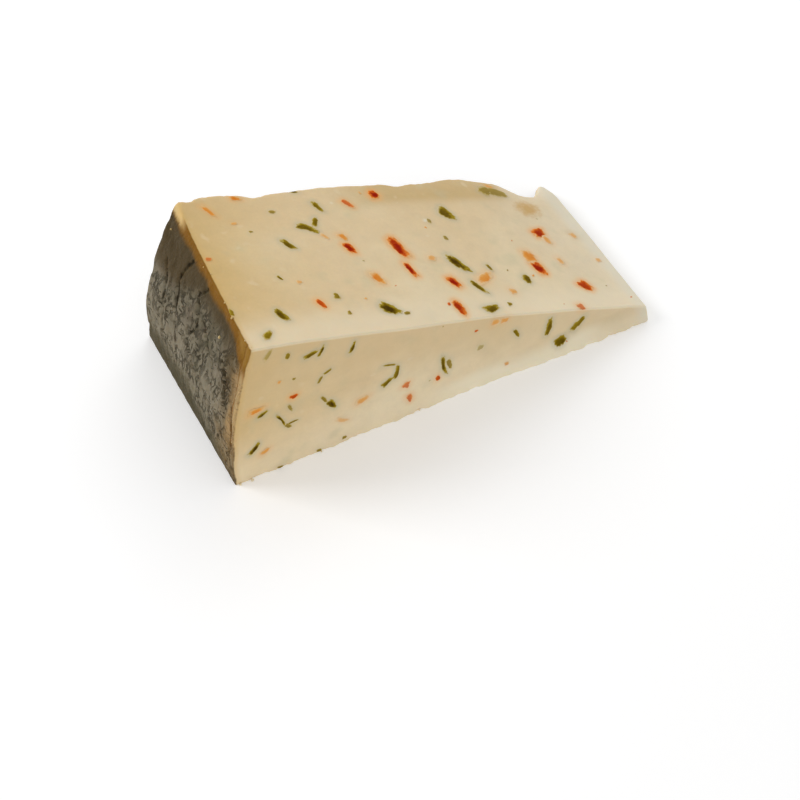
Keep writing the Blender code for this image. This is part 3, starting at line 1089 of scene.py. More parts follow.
    def _fissure(self, t: GeometryTree, s: SimpleNamespace, y: Field, z: Field) -> Field:
        """How deep a place on the rind lies in the nearest main fissure.

        Args:
            t: The tree, which starts from the fissures' lines.
            s: Its named inputs.
            y: The distance from the front.
            z: The height.

        Returns:
            1 in the fissure's middle and 0 out of its reach.
        """
        wander = s.fissure_wander * t.noise(t.joined(0.0, y, z), s.fissure_wander_span, 3.0, 0.65)
        on_rim = {"Sample Position": t.joined(0.0, y + wander, z)}
        away = t.nearest(t.source, "Distance", on_rim, "EDGES")
        broken = t.noise(t.joined(9.0, y, z), 4.5, 1.0).smooth(-0.4, 0.15)
        strength = (z.smooth(8.0, 26.0) * 0.35 + 0.6) * (broken * 0.45 + 0.55)
        return (1.0 - away / s.fissure_half_width).at_least(0.0) ** 1.5 * strength

    def _skin(self, t: GeometryTree, s: SimpleNamespace, a: Field, z: Field) -> Field:
        """Relief that the rim and the flat side share, outwards.

        Args:
            t: The tree.
            s: Its named inputs.
            a: The distance along the rind.
            z: The height.

        Returns:
            The relief.
        """
        lump = s.rind_lump * t.noise(t.joined(a, 9.0, z), s.rind_lump_span, 1.0)
        bump = s.rind_bump * t.noise(t.joined(a, 40.0, z * 0.5), s.rind_bump_span, 3.0, 0.65)
        fold = t.noise(t.joined(a, 3.0, z * 0.34), s.rind_fold_span, 3.0).math("ABSOLUTE")
        return lump + bump - s.rind_fold * fold.fall(0.0, 0.16)

    def _share(self, t: GeometryTree, s: SimpleNamespace) -> Field:
        """Where a point of the grid lies in the box, with more of them near the box's edges.

        Args:
            t: The tree.
            s: Its named inputs.

        Returns:
            The shares of the three ways through the box.
        """
        share = t.vector("ADD", t.add("GeometryNodeInputPosition"), (0.5, 0.5, 0.5))
        turn = t.vector("SINE", t.scaled(share, TURN))
        return t.vector("SUBTRACT", share, t.scaled(turn, s.edge_crowding / TURN))

    def _cuts(self, t: GeometryTree, s: SimpleNamespace, at: SimpleNamespace) -> tuple[Field, Field]:
        """The waves of the front and the upper cut, and the frayed foot of the front.

        Args:
            t: The tree.
            s: Its named inputs.
            at: The place, and how near it is to each face.

        Returns:
            How far the front and the upper cut move.
        """
        front = t.noise(t.joined(at.x, 5.0, at.z), s.cut_wave_span, 1.0) * s.cut_wave * at.low
        frayed = t.noise(t.joined(at.x, 30.0, at.z * 0.3), s.foot_fray_span, 3.0, 0.6) * s.foot_fray
        frayed = frayed * at.z.fall(0.3, s.foot_fray_height) * at.x.smooth(0.5, 3.0)
        top = t.noise(t.joined(at.x, at.y, 80.0), s.cut_wave_span, 1.0) * s.cut_wave
        return (front + frayed) * at.near_front, top * at.near_top * at.low

    def tree(self) -> GeometryTree:
        """The tree that bends a gridded box to the wedge, for lines where it is cracked."""
        t = GeometryTree("wedge")
        s = t.sizes(self.names())
        counts = dict(zip(("Vertices X", "Vertices Y", "Vertices Z"), self.cells))
        grid = t.add("GeometryNodeMeshCube", None, {"Size": (1.0, 1.0, 1.0), **counts}, "Mesh")
        share = self._share(t, s)
        along, across, up = share.parts()

        # A box with rounded edges, as high at each place as the upper cut
        height = self._height(t, s, along, across)
        upper = t.mix(s.cut_edge_radius, s.shoulder_radius, across.smooth(s.shoulder_starts, 1.0))
        rise = up.smooth(s.base_edge_ends, s.upper_edge_starts)
        radius = t.mix(s.base_edge_radius, upper, rise).at_most(s.radius_share * height)
        box = t.joined(s.tip_at, s.base_depth, height)
        px, py, pz = self._rounded(t, t.vector("MULTIPLY", box, share), box, radius).parts()

        # Its faces bent to the wedge's own
        from_back = s.base_depth - py
        near = (1.0 - from_back / s.shoulder_width).at_least(0.0)
        drop = s.shoulder_drop * px.smooth(s.shoulder_from, s.shoulder_full) * near * near
        z = pz - drop * pz / height
        lean = self._lean(t, s, z, across)
        x = lean + px * (s.tip_at - lean) / s.tip_at
        front = self._front(s, x, z)
        y = front + py * (self._back(s, x, z) - front) / s.base_depth

        # Relief, which fades with the distance from its face
        fissure = self._fissure(t, s, y, z)
        low, top_depth = z.smooth(0.0, s.relief_depth), height - pz
        fades = [(1.0 - d / s.relief_depth).at_least(0.0) for d in (px, from_back, py, top_depth)]
        at = SimpleNamespace(x=x, y=y, z=z, low=low, near_front=fades[2], near_top=fades[3])
        front_wave, top_wave = self._cuts(t, s, at)
        dent = (s.fissure_depth * fissure - self._skin(t, s, y, z)) * fades[0]
        dent = dent * (top_depth.smooth(0.0, 2.5) * 0.75 + 0.25) * low.at_least(0.25)
        out_back = self._skin(t, s, x + 60.0, z) * fades[1]
        values = (px, from_back, top_depth, py, fissure * px.fall(0.5, 1.5))
        for name, value in zip(self.DEPTHS, values):
            grid = t.store(grid, name, value)
        t.end(t.moved(grid, t.joined(x + dent, y + out_back + front_wave, z + top_wave)))
        return t

    def names(self) -> list[str]:
        """The names of the sizes that are the tree's inputs."""
        return [f.name for f in fields(self) if f.type is float]

    def build(self, material: bpy.types.Material) -> bpy.types.Mesh:
        """Shapes the wedge, in its own millimetres.

        Args:
            material: The cheese's finish.

        Returns:
            The wedge's mesh.
        """
        points, edges = [], []
        for line in self.fissures:
            first = len(points)
            points += [(0.0, y, z) for y, z in line]
            edges += [(i, i + 1) for i in range(first, len(points) - 1)]
        lines = bpy.data.meshes.new("fissure_lines")
        lines.from_pydata(points, edges, [])
        values = {name: getattr(self, name) for name in self.names()}
        return self.tree().run("wedge", lines, {**values, "material": material})


@dataclass
class Flecks:
    """The pieces of one kind of pepper in the cut faces. Sizes are in millimetres.

    Each row of placed pieces is the distance from the rind, the distance from the front edge
    (or the height, on the front face), length, width, turn in degrees, bend, and how faint
    the piece is under the paste, from 0 to 1. A grain is its kind's sides and rings.
    """

    SIZES = (
        "proud", "sunk", "under_foot", "ragged", "torn_span", "border", "blunt", "taper", "bend_from",
        "hidden_spacing", "speck_density",
    )
    COLUMNS = ("length", "width", "turn", "bend", "faint")

    kind: Pepper
    seed: int
    placed: Mapping[Side, Sequence[tuple[float, ...]]]
    proud: float = 0.1
    sunk: float = 0.9
    under_foot: float = 0.02
    ragged: float = 0.32
    torn_span: float = 0.9
    border: float = 1.1
    blunt: float = 2.8
    taper: float = 0.22
    bend_from: float = 0.4
    hidden_spacing: float = 15.0
    speck_density: float = 0.0005
    above: float = 90.0
    before: float = -40.0
    hidden_lengths: Span = (2.2, 6.0)
    hidden_faint: float = 0.3
    speck_lengths: Span = (0.5, 1.3)
    speck_faint: float = 0.8
    grains: tuple[tuple[int, int], ...] = ((22, 8), (16, 6), (8, 4))

    def _sites(self) -> bpy.types.Mesh:
        """A mesh with one point for each placed piece, above where it goes."""
        rows = [(side, row) for side, rows in self.placed.items() for row in rows]
        starts = [
            (row[0], row[1], self.above) if side is Side.TOP else (row[0], self.before, row[1])
            for side, row in rows
        ]
        columns = {name: [row[i] for _, row in rows] for i, name in enumerate(self.COLUMNS, start=2)}
        columns["turn"] = [math.radians(turn) for turn in columns["turn"]]
        mesh = site_mesh("sites", starts, columns)
        look = mesh.attributes.new("look", "FLOAT_VECTOR", "POINT")
        look.data.foreach_set("vector", [n for side, _ in rows for n in side.value])
        return mesh

    def _scattered(self, t: GeometryTree, points: Field, seed: Field, long: Span, faint: float) -> Field:
        """Random sizes, turns and tones on scattered points.

        Args:
            t: The tree.
            points: The first output of the node that scatters them.
            seed: The seed of the random values.
            long: The shortest and the longest piece.
            faint: How faint the faintest is.

        Returns:
            The points with their attributes.
        """
        made = t.store(points, "normal", points.also("Normal"), "FLOAT_VECTOR")
        length = t.random(*long, seed)
        values = (
            length,
            length * t.random(0.4, 0.8, seed + 1),
            t.random(0.0, TURN, seed + 2),
            t.random(-0.3, 0.3, seed + 3),
            t.random(faint / 4, faint, seed + 4),
        )
        for name, value in zip(self.COLUMNS, values):
            made = t.store(made, name, value)
        return made

    def _points(self, t: GeometryTree, s: SimpleNamespace, surface: Field) -> tuple[Field, Field, Field]:
        """Where the pieces go.

        The faces that the photograph hides get pieces by a rule: the base, the tip and the end
        of the front; and every cut face gets a few specks.

        Args:
            t: The tree.
            s: Its named inputs.
            surface: The wedge's surface.

        Returns:
            The points of the placed pieces, of the hidden faces' pieces and of the specks.
        """
        seed = t.size("seed", "NodeSocketInt")
        rays = {"Target Geometry": surface, "Ray Direction": t.read("look", "FLOAT_VECTOR")}
        hit = t.add("GeometryNodeRaycast", None, {**rays, "Ray Length": 300.0}, "Hit Position")
        placed = t.add("GeometryNodeMeshToPoints", None, {"Mesh": t.source})
        placed = t.store(placed, "normal", hit.also("Hit Normal"), "FLOAT_VECTOR")
        placed = t.moved(placed, hit)

        nx, ny, nz = t.add("GeometryNodeInputNormal").parts()
        cut = t.read("rim_depth").smooth(3.0, 4.0) * t.read("side_depth").smooth(2.5, 3.5)
        inland = t.read("front_depth").smooth(3.0, 4.0)
        hidden = (-nz).smooth(0.8, 0.9).at_least(nx.smooth(0.8, 0.9)) * inland
        at_end = t.add("GeometryNodeInputPosition").parts()[0].smooth(96.0, 98.0)
        hidden = hidden.at_least((-ny).smooth(0.8, 0.9) * at_end) * cut
        inputs = {"Mesh": surface, "Distance Min": s.hidden_spacing, "Density Max": 0.5, "Seed": seed}
        inputs["Density Factor"] = hidden
        large = t.add("GeometryNodeDistributePointsOnFaces", {"distribute_method": "POISSON"}, inputs)
        large = self._scattered(t, large, seed + 20, self.hidden_lengths, self.hidden_faint)
        inputs = {"Mesh": surface, "Density": s.speck_density * cut, "Seed": seed + 5}
        specks = t.add("GeometryNodeDistributePointsOnFaces", None, inputs)
        specks = self._scattered(t, specks, seed + 30, self.speck_lengths, self.speck_faint)
        return placed, large, specks

    def _laid(self, t: GeometryTree, s: SimpleNamespace, surface: Field) -> Field:
        """Where each point of a ball goes, so that it becomes a flat, ragged piece on the wedge.

        Args:
            t: The tree.
            s: Its named inputs.
            surface: The wedge's surface.

        Returns:
            The place, which follows the surface round edges and over waves.
        """
        local = t.read("local", "FLOAT_VECTOR")
        lx, ly, lz = local.parts()
        centre = t.vector("SUBTRACT", t.add("GeometryNodeInputPosition"), local)
        normal = t.read("normal", "FLOAT_VECTOR")
        side, straight = (
            t.vector("NORMALIZE", t.vector("CROSS_PRODUCT", normal, way))
            for way in ((1.0, 0.3, 0.2), (1.0, 0.0, 0.0))
        )
        at_tip = normal.parts()[0].math("ABSOLUTE").smooth(0.9, 0.95)
        inputs = {"Factor": at_tip, "A": straight, "B": side}
        side = t.add("ShaderNodeMix", {"data_type": "VECTOR"}, inputs)
        ahead = t.vector("CROSS_PRODUCT", side, normal)
        turn, length = t.read("turn"), t.read("length")
        cos, sin = turn.math("COSINE"), turn.math("SINE")
        long_way = t.vector("ADD", t.scaled(ahead, cos), t.scaled(side, sin))
        cross_way = t.vector("CROSS_PRODUCT", normal, long_way)

        # The outline: blunt, torn, narrower at one end, and bent
        flat = t.vector("MULTIPLY", local, (1.0, 1.0, 0.0))
        torn = t.noise(t.vector("ADD", flat, centre), s.torn_span, 2.0, 0.7)
        corners = lx.math("ABSOLUTE") ** s.blunt + ly.math("ABSOLUTE") ** s.blunt
        squared = (lx * lx + ly * ly).math("SQRT") / (corners.at_least(TINY) ** (1.0 / s.blunt))
        reach = s.border * (1.0 + s.ragged * torn * 2.0) * squared * 0.5
        u = lx * reach * length
        bend = t.read("bend") * length * (lx * lx - s.bend_from)
        v = ly * reach * t.read("width") * (1.0 - lx * s.taper) + bend
        rise = s.proud * lz.at_least(0.0) ** 0.5
        rise = rise * (1.0 + torn * 0.5) + s.sunk * lz.at_most(0.0) - 0.02

        spot = t.vector("ADD", centre, t.vector("ADD", t.scaled(long_way, u), t.scaled(cross_way, v)))
        foot = t.nearest(surface, "Position", {"Sample Position": spot})
        up = t.sampled(surface, t.add("GeometryNodeInputNormal"), "FLOAT_VECTOR", {"Sample Position": spot})
        mx, my, mz = t.vector("ADD", foot, t.scaled(up, rise)).parts()
        return t.joined(mx, my, mz.at_least(-s.under_foot))

    def tree(self) -> GeometryTree:
        """The tree that lays pieces on the wedge and bends each one to its surface."""
        t = GeometryTree("flecks")
        s = t.sizes(self.SIZES)
        surface = t.mesh_of("wedge")
        points = self._points(t, s, surface)
        pieces = t.add("GeometryNodeJoinGeometry")
        for spread, (sides, rings) in zip(points, self.grains):
            ball = t.add("GeometryNodeMeshUVSphere", None, {"Segments": sides, "Rings": rings}, "Mesh")
            ball = t.store(ball, "local", t.add("GeometryNodeInputPosition"), "FLOAT_VECTOR")
            t.feed(pieces.socket.node.inputs[0], t.instances({"Points": spread, "Instance": ball}))
        t.end(t.moved(pieces, self._laid(t, s, surface)))
        return t

    def build(self, wedge: bpy.types.Object, material: bpy.types.Material) -> bpy.types.Mesh:
        """Makes the pieces, in the wedge's own millimetres.

        Args:
            wedge: The wedge that they lie in.
            material: Their finish.

        Returns:
            Their mesh.
        """
        values = {name: getattr(self, name) for name in self.SIZES}
        values.update({"wedge": wedge, "material": material, "seed": self.seed})
        return self.tree().run(self.kind.value, self._sites(), values)


@dataclass
class Stains:
    """What the peppers bleed into the paste round them, in millimetres."""

    reach: float = 0.85
    orange_share: float = 0.6

    def build(
        self, wedge: bpy.types.Mesh, flecks: Mapping[Pepper, bpy.types.Object], material: bpy.types.Material
    ) -> bpy.types.Mesh:
        """Writes the stains on the wedge.

        Args:
            wedge: The wedge's mesh.
            flecks: The pieces of each kind.
            material: The cheese's finish.

        Returns:
            The wedge with a red_stain and a green_stain attribute.
        """
        t = GeometryTree("stains")
        reach = t.size("reach")
        stains = {}
        for kind in flecks:
            near = t.mesh_of(kind.value)
            away = t.nearest(near, "Distance")
            strength = t.read("length").smooth(0.5, 3.0) * (1.0 - t.read("faint"))
            bleeds = t.sampled(near, strength, "FLOAT")
            stains[kind] = (-((away / reach) ** 2.0)).math("EXPONENT") * bleeds
        warm = stains[Pepper.RED].at_least(stains[Pepper.ORANGE] * self.orange_share)
        mesh = t.store(t.source, "red_stain", warm)
        t.end(t.store(mesh, "green_stain", stains[Pepper.GREEN]))
        values = {kind.value: piece for kind, piece in flecks.items()}
        return t.run("wedge", wedge, {**values, "reach": self.reach, "material": material})


@dataclass
class Crumbs:
    """Crumbs of paste that the knife left along the edges, in millimetres.

    Each placed crumb is its place in the wedge, its length and its width.
    """

    SIZES = ("density", "smallest", "largest")

    seed: int = 5
    density: float = 0.12
    smallest: float = 0.2
    largest: float = 0.6
    inside: float = 6.0
    lump_span: float = 0.4
    lump: float = 0.3
    placed: tuple[tuple[float, ...], ...] = (
        (3.6, -0.5, 0.3, 0.7, 0.9),
        (0.6, -0.2, 0.3, 0.6, 0.7),
        (7.1, 11.0, 45.1, 0.9, 0.7),
        (4.3, 13.1, 37.8, 0.8, 0.7),
        (7.3, 47.9, 40.0, 0.45, 0.4),
        (22.0, -0.3, 0.3, 0.5, 0.6),
        (49.0, 0.1, 0.3, 0.5, 0.6),
    )

    def _points(self, t: GeometryTree, s: SimpleNamespace, seed: Field) -> Field:
        """Where the crumbs lie: the placed ones, and those strewn along the rind's edges.

        Args:
            t: The tree.
            s: Its named inputs.
            seed: The seed of the random values.

        Returns:
            The points, each with its length and width.
        """
        rim, top, front = t.read("rim_depth"), t.read("top_depth"), t.read("front_depth")
        crest = rim.fall(0.6, 1.6) * top.fall(0.5, 1.2)
        corner = rim.fall(0.5, 1.2) * front.fall(0.5, 1.2)
        density = s.density * crest.at_least(corner * 0.6)
        inputs = {"Mesh": t.mesh_of("wedge"), "Density": density, "Seed": seed}
        points = t.add("GeometryNodeDistributePointsOnFaces", None, inputs)
        size = t.random(0.0, 1.0, seed + 1) ** 2.0 * (s.largest - s.smallest) + s.smallest
        points = t.store(points, "long", size)
        points = t.store(points, "wide", size * t.random(0.5, 1.0, seed + 2))
        points = t.add("GeometryNodeJoinGeometry", None, {0: points})
        known = t.add("GeometryNodeMeshToPoints", None, {"Mesh": t.source})
        t.feed(points.socket.node.inputs[0], known)
        return points

    def build(self, wedge: bpy.types.Object, material: bpy.types.Material) -> bpy.types.Mesh:
        """Makes the crumbs.

        Args:
            wedge: The wedge that they lie on.
            material: Their finish.

        Returns:
            Their mesh.
        """
        t = GeometryTree("crumbs")
        s = t.sizes(self.SIZES)
        seed = t.size("seed", "NodeSocketInt")
        wide, long = t.read("wide"), t.read("long")
        angles = [t.random(0.0, TURN, seed + i) for i in (3, 4, 5)]
        set_out = {
            "Points": self._points(t, s, seed),
            "Instance": t.add("GeometryNodeMeshIcoSphere", None, {"Radius": 0.5, "Subdivisions": 2}, "Mesh"),
            "Rotation": t.add("FunctionNodeEulerToRotation", None, {0: t.joined(*angles)}),
            "Scale": t.joined(long, wide, wide * 0.7),
        }
        here = t.add("GeometryNodeInputPosition")
        lumps = t.noise(here, self.lump_span, 1.0) * self.lump
        offset = t.scaled(t.add("GeometryNodeInputNormal"), lumps)
        inputs = {"Geometry": t.instances(set_out), "Offset": offset}
        crumbs = t.add("GeometryNodeSetPosition", None, inputs)
        for name in Wedge.DEPTHS:
            crumbs = t.store(crumbs, name, 0.0 if name == "fissure" else self.inside)
        t.end(crumbs)
        columns = {name: [row[i] for row in self.placed] for i, name in ((3, "long"), (4, "wide"))}
        sites = site_mesh("crumb_sites", [row[:3] for row in self.placed], columns)
        values = {name: getattr(self, name) for name in (*self.SIZES, "seed")}
        return t.run("crumbs", sites, {**values, "wedge": wedge, "material": material})


GREEN_FLECKS = {
    Side.TOP: (
        (44.2, 45.0, 4.4, 1.6, -76, 0.14, 0.15),
        (38.0, 37.3, 5.4, 2.2, -36, -0.08, 0.1),
        (40.9, 39.4, 4.6, 1.5, 60, 0.0, 0.15),
        (30.8, 32.5, 4.2, 1.8, -58, 0.05, 0.1),
        (32.1, 44.8, 1.7, 1.3, 0, 0.0, 0.4),
        (40.8, 51.3, 1.9, 1.1, -10, 0.0, 0.0),
        (44.7, 6.9, 5.2, 3.6, -41, 0.0, 0.0),
        (48.3, 5.0, 1.9, 1.1, 10, 0.0, 0.3),
        (33.9, 13.1, 2.4, 1.6, 80, 0.1, 0.25),
        (34.4, 7.1, 1.4, 1.0, 90, 0.0, 0.35),
        (18.5, 9.2, 4.2, 1.9, -65, 0.05, 0.05),
        (12.6, 3.8, 3.2, 1.8, 42, 0.0, 0.2),
        (23.5, 21.5, 1.8, 0.8, -60, 0.0, 0.1),
        (23.8, 38.5, 1.1, 0.8, 0, 0.0, 0.4),
        (76.7, 38.5, 5.4, 3.4, -57, 0.1, 0.1),
        (70.4, 36.0, 2.0, 1.3, 90, 0.0, 0.55),
        (71.7, 29.6, 1.8, 1.2, 90, 0.0, 0.4),
        (70.2, 20.3, 7.6, 2.8, -61, 0.04, 0.0),
        (71.2, 11.4, 5.4, 1.7, -59, 0.05, 0.1),
        (77.8, 17.8, 2.8, 1.0, -75, 0.0, 0.25),
        (70.7, 3.9, 4.5, 2.4, 13, 0.0, 0.1),
        (76.3, 4.9, 1.4, 1.2, 0, 0.0, 0.25),
        (86.1, 13.2, 3.2, 2.4, 90, 0.0, 0.1),
        (96.2, 46.4, 6.2, 3.4, -24, 0.0, 0.5),
        (93.3, 47.3, 4.6, 3.4, 40, 0.0, 0.45),
        (7.6, 12.5, 2.2, 1.1, 75, 0.1, 0.25),
    ),
    Side.FRONT: (
        (21.1, 36.4, 4.2, 1.6, 12, 0.0, 0.1),
        (23.6, 36.3, 3.8, 0.9, 62, 0.05, 0.05),
        (31.4, 33.3, 3.8, 1.0, 70, 0.08, 0.05),
        (22.9, 26.6, 2.7, 0.8, 60, 0.0, 0.3),
        (24.9, 28.4, 2.5, 0.8, 25, 0.05, 0.25),
        (40.2, 15.8, 3.3, 1.5, 40, 0.0, 0.1),
        (42.6, 18.2, 5.0, 1.3, 78, 0.14, 0.15),
        (40.9, 21.8, 3.6, 0.7, 160, 0.05, 0.25),
        (15.4, 38.7, 2.1, 1.4, 70, 0.0, 0.25),
        (10.7, 41.4, 3.6, 1.2, 58, 0.0, 0.75),
        (16.5, 30.3, 1.0, 0.8, 0, 0.0, 0.4),
        (14.9, 20.8, 3.0, 0.9, -72, 0.0, 0.45),
        (23.6, 19.0, 3.2, 0.9, -65, 0.0, 0.3),
        (25.5, 16.2, 3.5, 1.9, -56, 0.0, 0.0),
        (8.0, 22.2, 3.2, 1.1, 25, 0.0, 0.05),
        (12.4, 17.5, 5.4, 0.8, -68, -0.08, 0.0),
        (14.1, 14.6, 2.2, 1.2, -50, 0.0, 0.35),
        (15.4, 15.4, 2.6, 0.6, 5, 0.0, 0.15),
        (5.1, 11.0, 4.2, 1.4, 48, 0.05, 0.0),
        (76.5, 13.2, 3.6, 1.1, -67, 0.0, 0.2),
        (85.6, 10.9, 6.0, 1.6, 80, 0.08, 0.1),
        (56.1, 12.8, 7.0, 1.2, -82, 0.12, 0.05),
        (57.5, 12.5, 4.0, 1.3, -77, 0.0, 0.35),
        (89.1, 4.4, 3.6, 2.7, 36, 0.0, 0.1),
        (94.5, 7.7, 4.9, 2.1, 46, 0.0, 0.2),
        (66.2, 13.7, 2.2, 1.9, 0, 0.0, 0.8),
        (21.5, 0.9, 1.5, 0.9, 0, 0.0, 0.3),
        (11.1, 0.6, 1.5, 0.9, 0, 0.0, 0.3),
        (28.4, 1.7, 1.4, 1.0, 0, 0.0, 0.3),
    ),
}
RED_FLECKS = {
    Side.TOP: (
        (52.3, 45.0, 4.0, 1.7, -60, 0.0, 0.35),
        (60.7, 47.4, 3.0, 2.7, 90, 0.0, 0.0),
        (45.1, 28.9, 4.0, 2.3, -69, 0.0, 0.0),
        (57.4, 27.4, 7.6, 3.4, -79, 0.05, 0.0),
        (56.6, 19.3, 5.6, 1.9, -81, 0.05, 0.0),
        (29.2, 11.1, 3.2, 1.6, -78, 0.0, 0.2),
        (9.9, 30.6, 1.8, 1.4, 0, 0.0, 0.55),
        (65.5, 13.8, 4.4, 2.5, -67, 0.0, 0.0),
        (62.4, 5.2, 5.4, 2.4, -85, 0.05, 0.05),
        (91.8, 16.9, 5.0, 3.5, -68, 0.0, 0.0),
        (99.5, 30.4, 4.4, 3.0, 25, 0.0, 0.05),
        (101.4, 9.5, 4.8, 3.4, -61, 0.0, 0.1),
        (95.4, 1.8, 3.1, 2.1, -71, 0.0, 0.5),
    ),
    Side.FRONT: (
        (16.1, 24.3, 2.2, 1.5, 10, 0.0, 0.15),
        (45.4, 11.9, 2.5, 1.9, 60, 0.0, 0.45),
        (46.3, 6.5, 2.9, 1.6, -79, 0.0, 0.4),
        (54.2, 9.2, 2.0, 1.2, 90, 0.0, 0.2),
    ),
}
ORANGE_FLECKS = {
    Side.TOP: (
        (25.3, 51.0, 2.8, 1.8, -20, 0.0, 0.05),
        (16.8, 47.6, 4.4, 1.4, -66, 0.0, 0.15),
        (21.1, 42.2, 1.8, 1.1, 0, 0.0, 0.5),
        (45.3, 33.1, 3.0, 2.1, -70, 0.0, 0.15),
        (40.9, 33.8, 2.6, 1.1, -60, 0.0, 0.6),
        (47.1, 17.3, 5.0, 2.8, -70, 0.0, 0.1),
        (40.5, 11.1, 0.9, 0.8, 0, 0.0, 0.4),
        (27.5, 19.4, 1.5, 1.3, 0, 0.0, 0.6),
        (64.1, 22.7, 2.5, 2.2, 0, 0.0, 0.5),
        (74.5, 14.4, 6.2, 2.8, 25, 0.0, 0.2),
        (79.7, 9.0, 2.3, 2.0, 0, 0.0, 0.4),
        (91.3, 21.2, 5.0, 3.6, 100, 0.0, 0.15),
        (100.4, 27.3, 3.2, 2.0, -77, 0.0, 0.4),
        (99.6, 19.1, 3.0, 2.0, -80, 0.0, 0.5),
        (109.4, 28.9, 2.6, 2.0, -60, 0.0, 0.6),
        (111.3, 19.1, 2.0, 1.6, 0, 0.0, 0.6),
        (95.4, 49.4, 2.8, 1.8, -20, 0.0, 0.5),
    ),
    Side.FRONT: (
        (12.8, 31.1, 1.3, 1.1, 60, 0.0, 0.4),
        (33.7, 12.9, 4.4, 2.2, 18, 0.0, 0.4),
        (6.6, 24.2, 4.4, 2.0, 0, 0.0, 0.15),
        (7.6, 8.6, 3.0, 1.3, 30, 0.0, 0.3),
        (28.2, 8.3, 4.0, 1.6, -34, 0.0, 0.7),
        (70.3, 20.5, 2.5, 2.2, 0, 0.0, 0.35),
        (72.8, 19.9, 2.4, 2.0, 0, 0.0, 0.4),
        (73.8, 3.9, 1.4, 1.2, 0, 0.0, 0.5),
    ),
}
PLACED = {Pepper.GREEN: GREEN_FLECKS, Pepper.RED: RED_FLECKS, Pepper.ORANGE: ORANGE_FLECKS}


@dataclass(frozen=True)
class Studio:
    """The floor, the light and the camera. Places are in the wedge's own millimetres.

    Each light is its place in metres from the middle of the wedge's foot, the length of its
    sides in metres, and its power in watts.
    """

    eye: tuple[float, float, float] = (-83.39, -250.76, 348.92)
    azimuth: float = 26.85
    elevation: float = 50.55
    roll: float = -0.59
    lens: float = 82.16
    world: float = 0.62
    floor_size: float = 6.0
    lights: tuple[tuple[str, tuple[float, float, float], float, float], ...] = (
        ("key", (0.9, 0.9, 1.3), 1.0, 4.5),
        ("side", (-0.8, 0.55, 0.75), 0.5, 5.0),
    )

    def _camera(self, shift: Vector) -> None:
        """Sets up the camera at the photograph's viewing angle.

        Args:
            shift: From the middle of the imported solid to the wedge's own origin.
        """
        turn, fall = math.radians(self.azimuth), math.radians(self.elevation)
        ahead = Vector((math.sin(turn) * math.cos(fall), math.cos(turn) * math.cos(fall), -math.sin(fall)))
        right = Vector((math.cos(turn), -math.sin(turn), 0.0))
        up = right.cross(ahead)
        roll = math.radians(self.roll)
        across = right * math.cos(roll) + up * math.sin(roll)
        above = up * math.cos(roll) - right * math.sin(roll)
        data = bpy.data.cameras.new("camera")
        data.lens = self.lens
        camera = new_object("camera", data)
        facing = Matrix((across, above, -ahead)).transposed().to_4x4()
        camera.matrix_world = Matrix.Translation((Vector(self.eye) - shift) * MM) @ facing
        bpy.context.scene.camera = camera

    def _floor(self) -> None:
        """Lays the floor at the height that the wedge lies on."""
        half = self.floor_size / 2
        corners = [(-half, -half, 0.0), (half, -half, 0.0), (half, half, 0.0), (-half, half, 0.0)]
        mesh = bpy.data.meshes.new("floor")
        mesh.from_pydata(corners, [], [(0, 1, 2, 3)])
        mesh.materials.append(FloorFinish().build())
        new_object("floor", mesh)

    def _light(self) -> None:
        """Hangs the soft square lights, which face the wedge, and lights the room."""
        for name, place, size, power in self.lights:
            data = bpy.data.lights.new(name, "AREA")
            data.size = size
            data.energy = power
            light = new_object(name, data)
            light.location = place
            light.rotation_euler = (-Vector(place)).to_track_quat("-Z", "Y").to_euler()
        world = bpy.data.worlds.new("studio")
        world.use_nodes = True
        background = world.node_tree.nodes["Background"]
        background.inputs["Color"].default_value = (*WHITE, 1.0)
        background.inputs["Strength"].default_value = self.world
        bpy.context.scene.world = world

    def build(self, shift: Vector) -> None:
        """Sets up the whole studio.

        Args:
            shift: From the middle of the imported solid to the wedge's own origin.
        """
        self._camera(shift)
        self._floor()
        self._light()
        bpy.context.scene.view_settings.view_transform = "Standard"


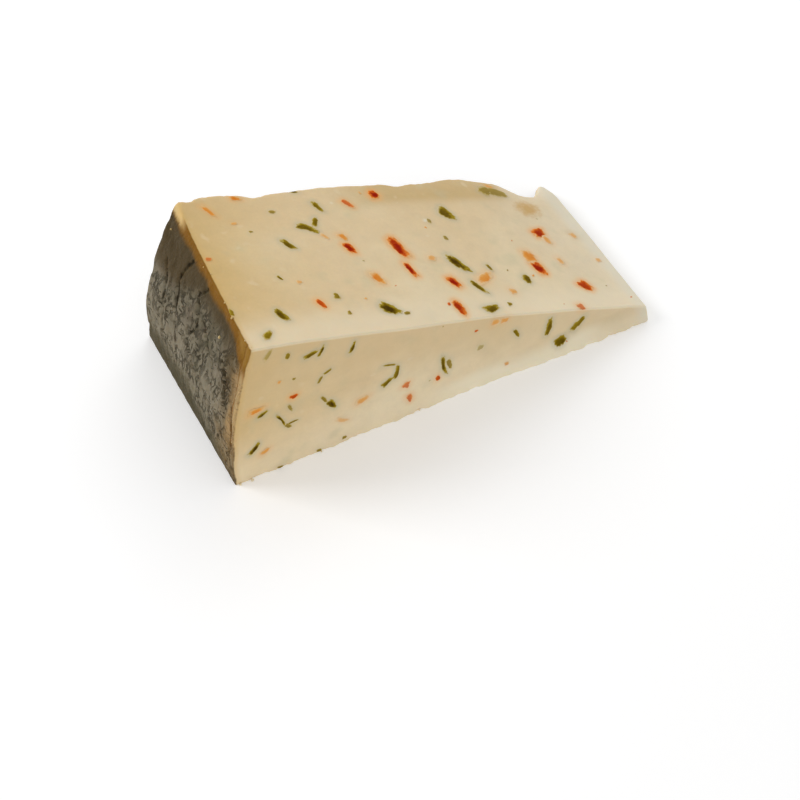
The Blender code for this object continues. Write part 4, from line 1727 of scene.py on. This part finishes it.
@dataclass
class PepperJack:
    """The whole piece of cheese: wedge, peppers and crumbs."""

    FINISHES = (
        (Pepper.GREEN, (0.070, 0.036, 0.000), (0.235, 0.145, 0.002), (0.46, 0.34, 0.03), 0.25),
        (Pepper.RED, (0.33, 0.010, 0.000), (0.60, 0.070, 0.001), (0.84, 0.29, 0.045), 0.25),
        (Pepper.ORANGE, (0.70, 0.17, 0.005), (0.79, 0.32, 0.050), (0.80, 0.48, 0.17), 0.5),
    )

    wedge: Wedge = field(default_factory=Wedge)
    foot_reach: float = 0.885

    def shift(self) -> Vector:
        """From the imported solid's origin to the wedge's own, in millimetres."""
        low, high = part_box(NODE)
        return Vector((self.wedge.tip_at - high.x / MM, -self.foot_reach - low.y / MM, 0.0))

    def _show(self, mesh: bpy.types.Mesh, name: str, slot: str) -> None:
        """Puts a finished mesh in its place in the frame.

        Args:
            mesh: The mesh, in the wedge's own millimetres.
            name: The name of the piece.
            slot: The record's material slot, which is only named in the log.
        """
        mesh.transform(Matrix.Scale(MM, 4) @ Matrix.Translation(-self.shift()))
        piece = new_object(name, mesh)
        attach(piece, BODY)
        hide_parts(NODE)
        triangles = sum(len(p.vertices) - 2 for p in mesh.polygons)
        LOG.info("%s: %d triangles, slot %s", name, triangles, slot)

    def build(self) -> None:
        """Builds every piece in order."""
        around = CheeseFinish(shift=self.shift())
        cheese = around.build()
        finishes = [PepperFinish(*row[:4], around, row[4]) for row in self.FINISHES]
        mesh = self.wedge.build(cheese)
        holder = new_object("held", mesh)
        made = {}
        for seed, finish in enumerate(finishes, start=1):
            flecks = Flecks(finish.kind, seed * 100, PLACED[finish.kind])
            made[finish.kind] = new_object("held", flecks.build(holder, finish.build()))
        crumbs = Crumbs().build(holder, cheese)
        self._show(Stains().build(mesh, made, cheese), "wedge", "cheese_paste")
        for kind, flecks in made.items():
            self._show(flecks.data, kind.value + "_flecks", kind.value)
            bpy.data.objects.remove(flecks)
        self._show(crumbs, "crumbs", "cheese_paste")
        bpy.data.objects.remove(holder)


def main() -> None:
    """Builds the cheese and the studio round it."""
    logging.basicConfig(level=logging.INFO, format="%(name)s: %(message)s")
    cheese = PepperJack()
    cheese.build()
    Studio().build(cheese.shift())


if __name__ == "__main__":
    main()
